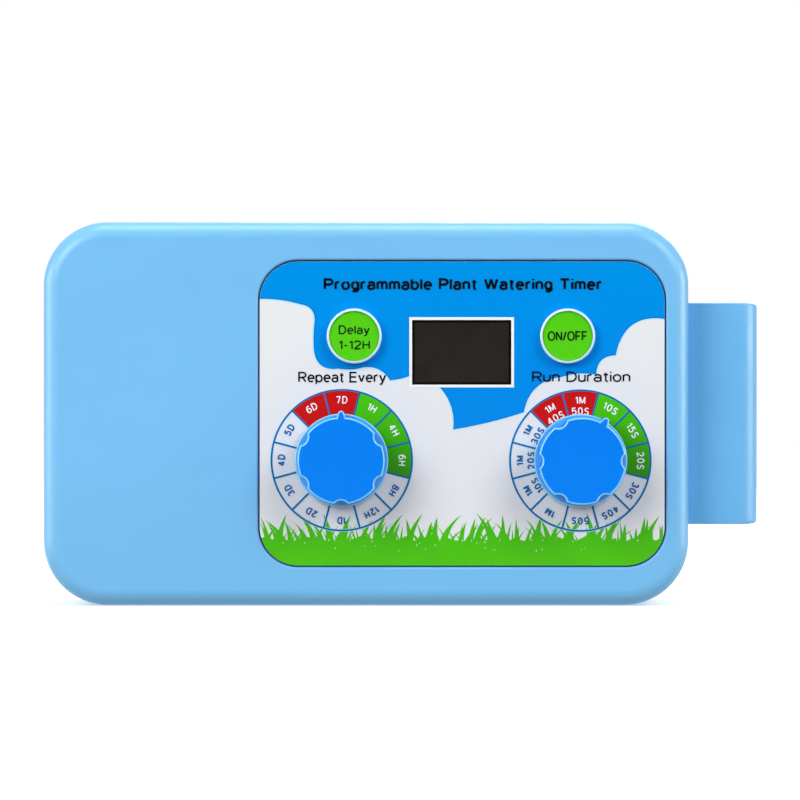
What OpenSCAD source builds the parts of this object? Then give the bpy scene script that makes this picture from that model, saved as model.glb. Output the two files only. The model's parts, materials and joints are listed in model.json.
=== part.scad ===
// Battery-powered drip irrigation timer with a small diaphragm pump inside.
// Every piece is drawn in the panel's own frame (x to the right, y up the panel, z out of the panel,
// z = 0 on the back face) and place() stands it up: front towards -Y, long lower side on Z = 0.

/* [Case] */
// Width of the case
body_w = 150; // [140:1:170]
// Height of the case
body_h = 89; // [86:1:100]
// Depth of the case, back face to front face
body_d = 38; // [36:1:44]
// Radius of the four corners seen from the front
corner_r = 14.8; // [12:0.1:18]
// Radius of the rounded front and back edges
edge_r = 4; // [3:0.5:6]
// Wall thickness of the two shells
wall = 2.2; // [1.8:0.1:2.6]
// Thickness of the front and back faces
face_t = 2.4; // [2:0.1:3]
// Height of the joint between the shells above the back face
joint_z = 29; // [28:0.5:30]

/* [Control panel] */
// Width of the sunk panel
panel_w = 94.8; // [90:0.2:98]
// Height of the sunk panel
panel_h = 71.4; // [68:0.2:74]
// Corner radius of the sunk panel
panel_r = 9.4; // [6:0.2:12]
// Sideways place of the panel's centre
panel_x = 22.3; // [20:0.1:23]
// How deep the panel is sunk
panel_sink = 0.8; // [0.6:0.1:1]
// Gap between the printed overlay and the edge of the sunk panel
overlay_gap = 0.4; // [0.2:0.1:0.6]
// Thickness of the printed overlay
overlay_t = 0.5; // [0.3:0.1:0.6]

/* [Display] */
// Width of the display window
window_w = 23; // [20:0.5:26]
// Height of the display window
window_h = 15; // [12:0.5:16]
// Place of the window's centre
window_at = [22.2, 14.2];

/* [Keys] */
// Diameter of a key's clear cap
key_d = 12.8; // [11:0.2:13.4]
// Diameter of the coloured insert under the cap
insert_d = 11.2; // [9:0.2:11.4]
// How far a key stands out of the front face
key_out = 1.6; // [1:0.1:2.4]
// Height of the key row
key_y = 17.95; // [16:0.05:20]
// Sideways place of the delay key
delay_x = -2.7; // [-5:0.1:0]
// Sideways place of the power key
power_x = 46.7; // [44:0.1:49]

/* [Dials] */
// Radius of a knob's top
knob_r = 10; // [9:0.1:10.6]
// Radius of a knob's foot flange
flange_r = 10.8; // [10.2:0.1:11]
// Distance from the dial axis to the pointer's tip
pointer_r = 11.5; // [11.1:0.1:12]
// How far a knob stands out of the front face
knob_out = 11.5; // [9:0.5:13]
// Place of the interval dial's axis
interval_at = [-5.6, -10.8];
// Place of the duration dial's axis
duration_at = [49.7, -10.9];
// Where the interval pointer stands, clockwise from the top
interval_turn = 0; // [0:30:330]
// Where the duration pointer stands, clockwise from the top
duration_turn = 30; // [0:30:330]
// Diameter of a dial shaft
shaft_d = 6; // [6:0.1:6.2]

/* [Hanging hook] */
// Width of the hook along the case's end
hook_w = 51.8; // [40:0.2:54]
// How far the hook reaches beyond the case's end
hook_reach = 16.8; // [12:0.1:20]
// Thickness of the hook
hook_t = 2.8; // [2:0.1:2.9]
// Outer radius of the hook's bend
hook_bend = 5; // [3.5:0.5:6]
// Height of the leg's free end above the back face
hook_tip_z = 3; // [1:0.5:12]

/* [Battery bay] */
// Length of an AA cell with its nub
cell_l = 50.5; // [50:0.1:50.5]
// Diameter of an AA cell
cell_d = 14.5; // [14:0.1:14.5]
// Distance between neighbouring cells
cell_pitch = 15.3; // [15:0.1:15.4]
// Thickness of the sliding door
door_t = 2.3; // [2:0.1:2.3]

/* [Pump] */
// Sideways place of the pump's axis
pump_x = -48; // [-50:0.5:-46]
// Height of the pump's axis above the back face
pump_z = 16.5; // [16.5:0.1:18]
// Radius of the pump body
pump_r = 13.5; // [13:0.1:13.8]
// Radius of the motor can
can_r = 12.2; // [11:0.1:12.4]
// Distance between the two hose spigots
spigot_pitch = 14; // [13:0.5:16]
// Radius of a spigot's straight land and of its barbs' edges
spigot_r = 2.2; // [2:0.1:2.4]

/* [Hidden] */
$fn = 48;
eps = 0.01;
slack = 0.2;                                 // gap between pieces that only lie side by side
run = 0.06;                                  // radial clearance of a turning shaft
face_in = body_d - face_t;                   // inner side of the front face
panel_z = body_d - panel_sink;               // floor of the sunk panel
tongue_h = 1.5;
tongue_t = wall / 2;
// circuit board
board_w = 88;
board_h = 62;
board_t = 1.6;
board_z = 26;                                // back side of the board
board_top = board_z + board_t;
connector_x = -14;
connector_y = [20, -22];
board_post_dx = 40;
board_post_dy = 27;
// case screws
tower_x = body_w / 2 - 9.5;
tower_y = body_h / 2 - 9.5;
tower_r = 4.2;
seat_z = 20;                                 // where a case screw's head sits
// keys and their switches
switch_w = 12;
switch_h = 3.6;
key_travel = 0.4;
cap_foot = 33;
cap_top = body_d + key_out;
cap_skin = 1.2;
insert_t = 0.9;
carrier_r = key_d / 2 - 0.8;
// dials
dial_body_r = 11;
dial_body_top = 34.2;
bush_top = face_in - 0.2;
rotor_r = 7.5;
rotor_z = [29, 32.5];
knob_foot = body_d + 0.3;
knob_top = body_d + knob_out;
hub_r = 5;
flat_depth = 0.8;                            // depth of the flat on a dial shaft
// battery bay, measured from its inner left end
bay_x = -4;
bay_l = 60.4;
bay_half = 2 * cell_pitch;
bay_wall = 1.6;
bay_roof = 18;
cell_z = 3 + cell_d / 2;
contact_t = 0.4;
contact_x = [0.2, bay_l - 0.2 - contact_t];  // near faces of the two rows of contacts
coil_turns = 3.5;
wire_r = 0.35;
// battery door: its cut-out, and the grooves that hold its side tongues
door_x = [bay_x - 3, bay_x + bay_l + 3];
door_low = -33;
groove_z = [0.9, 1.9];
groove_in = 1.6;
shelf_t = 1.7;
// pump, measured up the pump's axis
cap_low = -22.5;
can_low = -19.5;
can_high = 11.5;
crank_high = 21.5;
diaphragm_high = 22.7;
valve_high = 25.5;
head_high = 31.5;
spigot_high = 43.5;
pump_shaft_r = 1;
crank_offset = 2.2;
head_screw_r = 11;                           // pitch radius of the head screws
strap_y = [-8, 0];
strap_ear_x = 19;
pocket_x = [pump_x - 12, pump_x + 12];
pocket_z = [8, 25];
pocket_y = 34.5;
pocket_wall = 1.6;

case_blue = [0.46, 0.74, 0.94];
hook_blue = [0.40, 0.69, 0.90];
sky_blue = [0.0, 0.57, 0.93];
knob_blue = [0.0, 0.5, 0.95];
key_green = [0.33, 0.82, 0.05];
clear_grey = [0.85, 0.93, 0.96, 0.6];
smoke = [0.12, 0.11, 0.10];
board_green = [0.06, 0.36, 0.16];
black_plastic = [0.10, 0.10, 0.11];
steel = [0.75, 0.76, 0.78];
brass = [0.80, 0.66, 0.35];
white_plastic = [0.90, 0.90, 0.88];
rubber_grey = [0.22, 0.22, 0.23];

// ---------- shared shapes ----------

// Stands a piece drawn in the panel's frame up in the part's frame
module place() {
    translate([0, body_d / 2, body_h / 2])
        rotate([90, 0, 0])
            children();
}

// A box between two corners
module block(low, high) {
    translate(low)
        cube(high - low);
}

// A cylinder along z between two heights
module rod(r, low, high) {
    translate([0, 0, low])
        cylinder(r = r, h = high - low);
}

// A flat rectangle with round corners, centred
module rounded_rect(w, h, r) {
    square([w - 2 * r, h], center = true);
    square([w, h - 2 * r], center = true);
    for (sx = [-1, 1], sy = [-1, 1])
        translate([sx * (w / 2 - r), sy * (h / 2 - r)])
            circle(r);
}

// A plate with round corners between two heights
module plate(w, h, r, low, high) {
    translate([0, 0, low])
        linear_extrude(high - low)
            rounded_rect(w, h, r);
}

// Half-section of a rim: out to r, t high, with its upper outer edge rounded by e
module rim_section(r, t, e) {
    difference() {
        square([r, t]);
        translate([r - e, t - e])
            difference() {
                square(e + 1);
                circle(e);
            }
    }
}

// A block with round corners whose upper rim is rounded too: the outside or inside of a shell
module rimmed_block(w, h, r, t, e) {
    cx = w / 2 - r;
    cy = h / 2 - r;
    block([-cx, -cy, 0], [cx, cy, t]);
    for (turn = [0, 180])
        rotate(turn) {
            translate([cx, cy, 0])
                rotate([90, 0, 0])
                    linear_extrude(2 * cy)
                        rim_section(r, t, e);
            translate([-cx, cy, 0])
                rotate([90, 0, 90])
                    linear_extrude(2 * cx)
                        rim_section(r, t, e);
            translate([cx, cy, 0])
                rotate_extrude(angle = 90)
                    rim_section(r, t, e);
            translate([-cx, cy, 0])
                rotate(90)
                    rotate_extrude(angle = 90)
                        rim_section(r, t, e);
        }
}

// The whole case's outer form, cut at the joint: the front part, then the back part
module front_form(inset = 0, skin = 0) {
    translate([0, 0, joint_z])
        rimmed_block(body_w - 2 * inset, body_h - 2 * inset, corner_r - inset,
            body_d - joint_z - skin, edge_r - inset);
}

module back_form(inset = 0, skin = 0) {
    translate([0, 0, joint_z])
        mirror([0, 0, 1])
            rimmed_block(body_w - 2 * inset, body_h - 2 * inset, corner_r - inset,
                joint_z - skin, edge_r - inset);
}

module at_case_screws() {
    for (sx = [-1, 1], sy = [-1, 1])
        translate([sx * tower_x, sy * tower_y, 0])
            children();
}

module at_board_posts() {
    for (sx = [-1, 1], sy = [-1, 1])
        translate([panel_x + sx * board_post_dx, sy * board_post_dy, 0])
            children();
}

// Local z runs up the pump's axis
module on_pump_axis() {
    translate([pump_x, 0, pump_z])
        rotate([-90, 0, 0])
            children();
}

// A pan-head screw: head of radius 2 * r above z = 0, plain shank below
module screw(r, length, head_h) {
    difference() {
        rod(2.1 * r, 0, head_h);
        translate([0, 0, head_h])
            cube([2.6 * r, 0.5 * r, head_h], center = true);
        translate([0, 0, head_h])
            cube([0.5 * r, 2.6 * r, head_h], center = true);
    }
    rod(r, -length, eps);
}

// ---------- round sections swept along a path ----------

function unit(v) = v / norm(v);

function heading(path, i) = unit(path[min(i + 1, len(path) - 1)] - path[max(i - 1, 0)]);

function section(path, i, r, sides, up) =
    let (t = heading(path, i), u = unit(cross(t, up)), v = cross(t, u))
    [for (k = [0 : sides - 1])
        path[i] + r * (cos(360 * k / sides) * u + sin(360 * k / sides) * v)];

module swept_tube(path, r, sides, up) {
    last = len(path) - 1;
    points = [for (i = [0 : last]) each section(path, i, r, sides, up)];
    sides_of_tube = [for (i = [0 : last - 1], k = [0 : sides - 1])
        let (a = i * sides + k, b = i * sides + (k + 1) % sides)
        each [[a, a + sides, b + sides], [a, b + sides, b]]];
    start_cap = [for (k = [0 : sides - 1]) k];
    end_cap = [for (k = [sides - 1 : -1 : 0]) last * sides + k];
    polyhedron(points, concat(sides_of_tube, [start_cap], [end_cap]));
}

// ---------- case ----------

module front_shell() {
    color(case_blue)
        place()
            difference() {
                union() {
                    difference() {
                        front_form();
                        translate([0, 0, -eps])
                            front_form(wall, face_t - eps);
                    }
                    at_case_screws()
                        rod(tower_r - slack, joint_z, face_in + 0.5);
                    at_board_posts()
                        rod(3, board_top, face_in + 0.5);
                }
                // rebate for the rear shell's tongue
                difference() {
                    plate(body_w - 2 * tongue_t, body_h - 2 * tongue_t, corner_r - tongue_t,
                        joint_z - 1, joint_z + tongue_h + slack);
                    plate(body_w - 2 * wall - slack, body_h - 2 * wall - slack,
                        corner_r - wall - slack / 2, joint_z - 2, joint_z + tongue_h + 1);
                }
                translate([panel_x, 0, 0])
                    plate(panel_w, panel_h, panel_r, panel_z, body_d + 1);
                translate([window_at[0], window_at[1], body_d])
                    cube([window_w, window_h, 2 * face_t + 2], center = true);
                for (x = [delay_x, power_x])
                    translate([x, key_y, 0])
                        rod(key_d / 2 + slack, face_in - 1, body_d + 1);
                for (p = [interval_at, duration_at])
                    translate([p[0], p[1], 0])
                        rod(5, face_in - 1, body_d + 1);
                at_case_screws()
                    rod(1.25, joint_z - 1, face_in - 0.6);
                at_board_posts()
                    rod(0.9, board_top - 1, face_in - 0.6);
            }
}

module pump_saddles() {
    for (y = [-14, 4])
        difference() {
            block([pump_x - 15.5, y, face_t - eps], [pump_x + 15.5, y + 2, 11]);
            on_pump_axis()
                rod(can_r + 1.6, y - 1, y + 3);
        }
    for (sx = [-1, 1])
        translate([pump_x + sx * strap_ear_x, (strap_y[0] + strap_y[1]) / 2, 0])
            difference() {
                rod(3, face_t - eps, pump_z - 0.1);
                rod(1.1, 6, pump_z + 1);
            }
}

module bay_walls() {
    translate([bay_x, 0, 0]) {
        difference() {
            block([-bay_wall, -bay_half - bay_wall, face_t - eps],
                [bay_l + bay_wall, bay_half + bay_wall, bay_roof + bay_wall]);
            block([0, -bay_half, 0], [bay_l, bay_half, bay_roof]);
            // slots that let the two solder tags out
            for (y = [-1, 1])
                block([-bay_wall - 1, y * 1.5 * cell_pitch - 2.2, 11.9],
                    [1, y * 1.5 * cell_pitch + 2.2, 12.7]);
        }
        for (y = [-1, 0, 1])
            block([10, y * cell_pitch - 0.25, bay_roof - 2.5],
                [50, y * cell_pitch + 0.25, bay_roof + eps]);
    }
}

// The shelf behind the door, which carries the door's edges
module door_shelf() {
    low = 2.5;
    difference() {
        block([door_x[0] - 3.5, door_low - 3, face_t - eps],
            [door_x[1] + 3.5, body_h / 2 - wall + 0.5, low + shelf_t]);
        block([bay_x, -bay_half, 0], [bay_x + bay_l, bay_half, low + shelf_t + 1]);
    }
}

// Everything cut away for the door: its opening and the two side grooves
module door_way() {
    high = body_h / 2 + 1;
    block([door_x[0] - slack, door_low - slack, -1], [door_x[1] + slack, high, 2.5]);
    block([door_x[0] - groove_in - slack, door_low - slack, groove_z[0]],
        [door_x[1] + groove_in + slack, high, groove_z[1]]);
}

module hose_pocket_walls() {
    block([pocket_x[0] - pocket_wall, pocket_y - 2, pocket_z[0] - pocket_wall],
        [pocket_x[1] + pocket_wall, body_h / 2 - wall + 0.5, pocket_z[1] + pocket_wall]);
}

module hose_pocket_space() {
    block([pocket_x[0], pocket_y, pocket_z[0]], [pocket_x[1], body_h / 2 + 1, pocket_z[1]]);
    on_pump_axis()
        for (sx = [-1, 1])
            translate([sx * spigot_pitch / 2, 0, 0])
                rod(spigot_r + 1.1, pocket_y - 3, pocket_y + 1);
}

module rear_shell() {
    hook_half = hook_w / 2 + slack;
    color(case_blue)
        place()
            difference() {
                union() {
                    difference() {
                        back_form();
                        translate([0, 0, eps])
                            back_form(wall, face_t - eps);
                    }
                    difference() {
                        plate(body_w - 2 * tongue_t - slack, body_h - 2 * tongue_t - slack,
                            corner_r - tongue_t - slack / 2, joint_z - eps, joint_z + tongue_h);
                        plate(body_w - 2 * wall, body_h - 2 * wall, corner_r - wall,
                            joint_z - 1, joint_z + tongue_h + 1);
                    }
                    at_case_screws()
                        rod(tower_r, face_t - eps, joint_z);
                    pump_saddles();
                    bay_walls();
                    door_shelf();
                    hose_pocket_walls();
                }
                door_way();
                hose_pocket_space();
                at_case_screws() {
                    rod(3.2, -1, seat_z);
                    rod(1.7, seat_z - 1, joint_z + 1);
                }
                // the gap in the end wall that the hook passes through
                block([body_w / 2 - wall - 1, -hook_half, joint_z - hook_t - slack],
                    [body_w / 2 + 1, hook_half, joint_z + tongue_h + 1]);
            }
}

// Side view of the hook: the tab in the case, the plate, the bend and the leg
module hook_section() {
    root = body_w / 2 - wall - 3.4;
    tip = body_w / 2 + hook_reach;
    top = joint_z - slack / 2;
    translate([root, top - hook_t])
        square([tip - hook_bend - root, hook_t]);
    translate([root, top - hook_t - 3])
        square([3, hook_t + 3]);
    translate([tip - hook_t, hook_tip_z])
        square([hook_t, top - hook_bend - hook_tip_z]);
    translate([tip - hook_bend, top - hook_bend])
        intersection() {
            difference() {
                circle(hook_bend);
                circle(hook_bend - hook_t);
            }
            square(hook_bend + 1);
        }
}

module hanging_hook() {
    color(hook_blue)
        place()
            intersection() {
                translate([0, hook_w / 2, 0])
                    rotate([90, 0, 0])
                        linear_extrude(hook_w)
                            hook_section();
                // rounded corners seen from the front
                plate(body_w + 2 * hook_reach, hook_w, 1.2, -1, body_d);
            }
}

module battery_door() {
    grip_x = [16, 36];
    color(case_blue)
        place()
            difference() {
                intersection() {
                    back_form();
                    union() {
                        block([door_x[0], door_low, -1], [door_x[1], body_h / 2, door_t]);
                        block([door_x[0] - groove_in, door_low, groove_z[0] + slack / 2],
                            [door_x[1] + groove_in, body_h / 2, groove_z[1] - slack / 2]);
                    }
                }
                for (i = [0 : 5])
                    block([grip_x[0], 22 + 2.4 * i, -1], [grip_x[1], 23.2 + 2.4 * i, 0.6]);
            }
}

// ---------- panel ----------

module front_overlay() {
    color(sky_blue)
        place()
            difference() {
                translate([panel_x, 0, 0])
                    plate(panel_w - 2 * overlay_gap, panel_h - 2 * overlay_gap, panel_r - overlay_gap,
                        panel_z, panel_z + overlay_t);
                translate([window_at[0], window_at[1], body_d])
                    cube([window_w, window_h, 4], center = true);
                for (x = [delay_x, power_x])
                    translate([x, key_y, 0])
                        rod(key_d / 2 + slack, panel_z - 1, body_d);
                for (p = [interval_at, duration_at])
                    translate([p[0], p[1], 0])
                        rod(4.2, panel_z - 1, body_d);
            }
}

module display_window() {
    color(smoke)
        place()
            translate([window_at[0], window_at[1], 0]) {
                plate(window_w - slack, window_h - slack, 0.4, face_in - eps, panel_z + overlay_t - 0.2);
                plate(window_w + 3, window_h + 3, 1, face_in - 1, face_in);
            }
}

// The numeric display: a dark body with two digits' sunk segments
module led_display() {
    digit_h = 9;
    digit_w = 5;
    bar = 0.9;
    top = face_in - 1.2;
    color([0.08, 0.08, 0.08])
        place()
            translate([window_at[0], window_at[1], 0])
                difference() {
                    block([-11.2, -7, board_top], [11.2, 7, top]);
                    for (x = [-4.6, 4.6])
                        translate([x, 0, top]) {
                            for (y = [-1, 0, 1])
                                translate([0, y * digit_h / 2, 0])
                                    cube([digit_w - bar - 0.6, bar, 0.4], center = true);
                            for (sx = [-1, 1], sy = [-1, 1])
                                translate([sx * digit_w / 2, sy * digit_h / 4, 0])
                                    cube([bar, digit_h / 2 - bar - 0.6, 0.4], center = true);
                        }
                }
}

// ---------- circuit board ----------

module circuit_board() {
    color(board_green)
        place()
            difference() {
                translate([panel_x, 0, 0])
                    block([-board_w / 2, -board_h / 2, board_z], [board_w / 2, board_h / 2, board_top]);
                at_board_posts()
                    rod(1.2, board_z - 1, board_top + 1);
                at_case_screws()
                    rod(tower_r + 0.5, board_z - 1, board_top + 1);
            }
}

module controller_chip() {
    color(black_plastic)
        place()
            translate([22, -4, 0]) {
                block([-5, -5, board_z - 1.5], [5, 5, board_z]);
                for (sx = [-1, 1], i = [-5 : 5])
                    translate([sx * 5, i * 0.8, 0])
                        block([-0.9, -0.16, board_z - 0.6], [0.9, 0.16, board_z]);
            }
}

module pump_driver() {
    color(black_plastic)
        place()
            translate([-13, -10, 0]) {
                block([-3.3, -3, board_z - 2.3], [3.3, 3, board_z]);
                block([-2.6, 3 - eps, board_z - 0.6], [2.6, 4.2, board_z]);
                for (x = [-2.3, 2.3])
                    translate([x, -3, 0])
                        block([-0.4, -2.4, board_z - 0.5], [0.4, eps, board_z]);
            }
}

module storage_capacitor() {
    color([0.10, 0.12, 0.30])
        place()
            translate([-15, 4, 0])
                union() {
                    rod(4, board_z - 11.5, board_z);
                    rod(3.6, board_z - 11.8, board_z - 11);
                }
}

module small_components() {
    color([0.16, 0.14, 0.13])
        place()
            for (i = [0 : 4], j = [0, 1])
                translate([8 + 9 * i, 12 + 5 * j, 0])
                    block([-1, -0.6, board_z - 0.6], [1, 0.6, board_z]);
}

module buzzer() {
    color(black_plastic)
        place()
            translate([6, -20, 0])
                difference() {
                    rod(5.8, board_z - 5.4, board_z);
                    rod(1, board_z - 6, board_z - 3);
                }
}

module wire_connectors() {
    color(white_plastic)
        place()
            for (y = connector_y)
                translate([connector_x, y, 0])
                    difference() {
                        block([-3.7, -2.9, board_z - 6], [3.7, 2.9, board_z]);
                        block([-2.9, -2.1, board_z - 7], [2.9, 2.1, board_z - 4.5]);
                    }
}

// ---------- dials ----------

module rotary_switch(at) {
    translate([at[0], at[1], 0])
        difference() {
            union() {
                rod(dial_body_r, board_top, dial_body_top);
                rod(4.6, dial_body_top - eps, bush_top);
            }
            rod(rotor_r + 0.5, rotor_z[0] - 0.4, rotor_z[1] + 0.4);
            rod(shaft_d / 2 + run, rotor_z[1], bush_top + 1);
        }
}

// A shaft with a flat at its top end and a rotor inside the switch
module dial_shaft(at, turn) {
    translate([at[0], at[1], 0])
        rotate(-turn)
            difference() {
                union() {
                    rod(rotor_r, rotor_z[0], rotor_z[1]);
                    rod(shaft_d / 2, rotor_z[1] - eps, knob_top - 3);
                }
                block([-shaft_d, shaft_d / 2 - flat_depth, knob_foot + 1],
                    [shaft_d, shaft_d, knob_top]);
            }
}

// A knob with a pointer wedge and five thumb scallops, hollow under its skirt
module knob(at, turn) {
    skin = 1.9;
    shoulder = knob_foot + 1.4;
    translate([at[0], at[1], 0])
        rotate(-turn)
            difference() {
                union() {
                    rod(flange_r, knob_foot, shoulder);
                    translate([0, 0, knob_foot + 0.5])
                        linear_extrude(knob_top - knob_foot - 0.5)
                            difference() {
                                circle(knob_r);
                                for (i = [1 : 5]) rotate(60 * i) translate([0, knob_r + 1.1]) circle(2);
                            }
                    translate([0, 0, knob_foot + 0.2])
                        linear_extrude(knob_top - knob_foot - 0.6)
                            polygon([[-1.9, 8.4], [-1.3, pointer_r - 0.4], [-0.7, pointer_r],
                                [0.7, pointer_r], [1.3, pointer_r - 0.4], [1.9, 8.4]]);
                }
                difference() {
                    rod(knob_r - skin, knob_foot - 1, knob_top - 2.4);
                    rod(hub_r, knob_foot + 0.4, knob_top);
                }
                difference() {
                    rod(shaft_d / 2 + 0.02, knob_foot - 1, knob_top - 2.9);
                    block([-shaft_d, shaft_d / 2 - flat_depth + 0.02, knob_foot + 1], [shaft_d, shaft_d, knob_top]);
                }
            }
}

module interval_switch() {
    color(black_plastic)
        place()
            rotary_switch(interval_at);
}

module duration_switch() {
    color(black_plastic)
        place()
            rotary_switch(duration_at);
}

module interval_shaft() {
    color(white_plastic)
        place()
            dial_shaft(interval_at, interval_turn);
}

module duration_shaft() {
    color(white_plastic)
        place()
            dial_shaft(duration_at, duration_turn);
}

module interval_knob() {
    color(knob_blue)
        place()
            knob(interval_at, interval_turn);
}

module duration_knob() {
    color(knob_blue)
        place()
            knob(duration_at, duration_turn);
}

// ---------- keys ----------

module push_switch(x) {
    translate([x, key_y, 0])
        difference() {
            block([-switch_w / 2, -switch_w / 2, board_top],
                [switch_w / 2, switch_w / 2, board_top + switch_h]);
            rod(3.6, board_top + 0.6, board_top + switch_h + 1);
        }
}

// The clear cover of a key, open at its foot
module key_cap(x) {
    translate([x, key_y, 0])
        difference() {
            union() {
                rod(key_d / 2, cap_foot, cap_top - 0.5);
                translate([0, 0, cap_top - 0.5 - eps])
                    cylinder(r1 = key_d / 2, r2 = key_d / 2 - 0.5, h = 0.5 + eps);
            }
            rod(carrier_r, cap_foot - 1, cap_top - cap_skin);
        }
}

module key_insert(x) {
    translate([x, key_y, 0])
        rod(insert_d / 2, cap_top - cap_skin - insert_t, cap_top - cap_skin);
}

// The carrier inside the cap and the plunger that it pushes
module key_plunger(x) {
    translate([x, key_y, 0]) {
        rod(carrier_r - 0.05, cap_foot, cap_top - cap_skin - insert_t);
        block([-1.9, -1.9, board_top + switch_h - 0.5], [1.9, 1.9, cap_foot + eps]);
        rod(3.3, board_top + 1.1, board_top + switch_h - 0.4);
    }
}

module delay_switch() {
    color(black_plastic)
        place()
            push_switch(delay_x);
}

module power_switch() {
    color(black_plastic)
        place()
            push_switch(power_x);
}

module delay_cap() {
    color(clear_grey)
        place()
            key_cap(delay_x);
}

module power_cap() {
    color(clear_grey)
        place()
            key_cap(power_x);
}

module delay_insert() {
    color(key_green)
        place()
            key_insert(delay_x);
}

module power_insert() {
    color(key_green)
        place()
            key_insert(power_x);
}

module delay_plunger() {
    color(white_plastic)
        place()
            key_plunger(delay_x);
}

module power_plunger() {
    color(white_plastic)
        place()
            key_plunger(power_x);
}

// ---------- power ----------

// Cells lie along x; every second one is turned end for end
module at_cells() {
    for (i = [0 : 3])
        translate([bay_x + (i % 2 == 0 ? 0 : bay_l), (i - 1.5) * cell_pitch, cell_z])
            mirror([i % 2, 0, 0])
                rotate([0, 90, 0])
                    children();
}

module battery_cells() {
    nub = 1.2;
    high = contact_x[1];
    color([0.25, 0.27, 0.32])
        place()
            at_cells() {
                rod(cell_d / 2, high - cell_l, high - nub);
                rod(2.7, high - nub - eps, high);
            }
}

module spring_contacts() {
    steps = 10;
    start = contact_x[0] + contact_t;
    reach = contact_x[1] - cell_l - start;
    rings = coil_turns * steps;
    path = [for (i = [0 : rings])
        let (f = i / rings, r = 4 - 1.8 * f, a = 360 * i / steps)
        [r * cos(a), r * sin(a), start + wire_r + (reach - 2 * wire_r) * f]];
    color(steel)
        place()
            at_cells()
                swept_tube(path, wire_r, 5, [0, 0, 1]);
}

module plate_contacts() {
    half = 4.8;
    color(steel)
        place() {
            at_cells()
                for (z = contact_x)
                    block([-half, -half, z], [half, half, z + contact_t]);
            // solder tags that reach through the bay's wall
            for (y = [-1, 1])
                block([bay_x - bay_wall - 1.6, y * 1.5 * cell_pitch - 2, 12.1],
                    [bay_x + contact_x[0] + eps, y * 1.5 * cell_pitch + 2, 12.5]);
        }
}

module battery_leads() {
    tag_x = bay_x - bay_wall - 1.2;
    routes = [
        [[tag_x, 23, 13.2], [-8.2, 23, 13.4], [-9.8, 22.6, 14.2], [-11.6, 21.8, 15.6],
            [-12.8, 21, 17.5], [-13, 20.6, 20.9]],
        [[tag_x, -23, 13.2], [-7.6, -21, 13.6], [-8, -14, 15], [-8, 0, 16], [-8.6, 10, 16],
            [-10.5, 15.5, 16.4], [-14, 18.6, 17.8], [-15, 19.4, 20.9]]];
    color([0.75, 0.08, 0.06])
        place()
            for (route = routes)
                swept_tube(route, 0.6, 8, [0.1, 0.2, 1]);
}

module pump_leads() {
    routes = [
        [[pump_x - 5, -28.2, pump_z], [pump_x - 4, -31.5, pump_z], [-45, -34.5, 17], [-37, -36, 17.5],
            [-27, -35, 17.6], [-20, -31.5, 17.6], [-15, -27.5, 17.6], [-12.9, -24, 18.2],
            [-12.8, -22, 20.9]],
        [[pump_x + 5, -28.2, pump_z], [pump_x + 6.5, -30, pump_z], [-38, -32, 17], [-32, -32.5, 17],
            [-25, -30.5, 17], [-19, -25.5, 17.4], [-16, -22.5, 18.2], [-15.3, -21.6, 20.9]]];
    color([0.1, 0.1, 0.1])
        place()
            for (route = routes)
                swept_tube(route, 0.6, 8, [0.1, 0.2, 1]);
}

// ---------- pump ----------

module motor_can() {
    color(steel)
        place()
            on_pump_axis()
                difference() {
                    rod(can_r, can_low, can_high);
                    rod(can_r - 0.8, can_low - 1, can_high - 1);
                    rod(pump_shaft_r + run, can_high - 2, can_high + 1);
                }
}

module motor_end_cap() {
    color(black_plastic)
        place()
            on_pump_axis()
                difference() {
                    union() {
                        rod(can_r - 0.2, cap_low, can_low);
                        rod(can_r - 0.85, can_low - eps, can_low + 1.4);
                        for (sx = [-1, 1])
                            block([sx * 5 - 1.2, -0.3, cap_low - 5], [sx * 5 + 1.2, 0.3, cap_low + eps]);
                    }
                    rod(pump_shaft_r + run, cap_low - 1, can_low + 3);
                }
}

module motor_magnets() {
    color([0.2, 0.2, 0.21])
        place()
            on_pump_axis()
                difference() {
                    rod(can_r - 0.85, -14, 7);
                    rod(9.6, -15, 8);
                    cube([0.6 * can_r, 2 * can_r, 60], center = true);
                }
}

module motor_armature() {
    color([0.62, 0.34, 0.16])
        place()
            on_pump_axis()
                difference() {
                    union() {
                        rod(9.1, -13, 5);
                        rod(3.2, -17.5, -13 + eps);
                    }
                    for (i = [0 : 2])
                        rotate(120 * i)
                            block([-0.8, 4, -14], [0.8, 10, 6]);
                    rod(pump_shaft_r, -18, 6);
                }
}

module motor_shaft() {
    color(steel)
        place()
            on_pump_axis()
                rod(pump_shaft_r, cap_low - 0.5, 16.5);
}

// The crank on the motor shaft, with its offset pin
module pump_eccentric() {
    color(white_plastic)
        place()
            on_pump_axis()
                difference() {
                    union() {
                        rod(4.2, 13.6, 17.2);
                        translate([crank_offset, 0, 0])
                            rod(1.2, 17.2 - eps, 20.6);
                    }
                    rod(pump_shaft_r, 13, 16.5 + eps);
                }
}

module at_head_screws() {
    for (i = [0 : 3])
        rotate(45 + 90 * i)
            translate([head_screw_r, 0, 0])
                children();
}

module crank_housing() {
    color(white_plastic)
        place()
            on_pump_axis()
                difference() {
                    rod(pump_r, can_high, crank_high);
                    rod(9.2, can_high + 1.5, crank_high + 1);
                    rod(3.5, can_high - 1, can_high + 2);
                    at_head_screws()
                        rod(1, can_high + 3, crank_high + 1);
                }
}

// The plate that the crank tips; its hub clears the pin's whole circle
module wobble_plate() {
    color(white_plastic)
        place()
            on_pump_axis()
                difference() {
                    union() {
                        rod(8.4, 19.2, 20.4);
                        for (i = [0 : 2])
                            rotate(120 * i)
                                translate([6, 0, 0])
                                    rod(1.2, 20.4 - eps, 21.2);
                    }
                    rod(3.8, 18, 22);
                }
}

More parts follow.
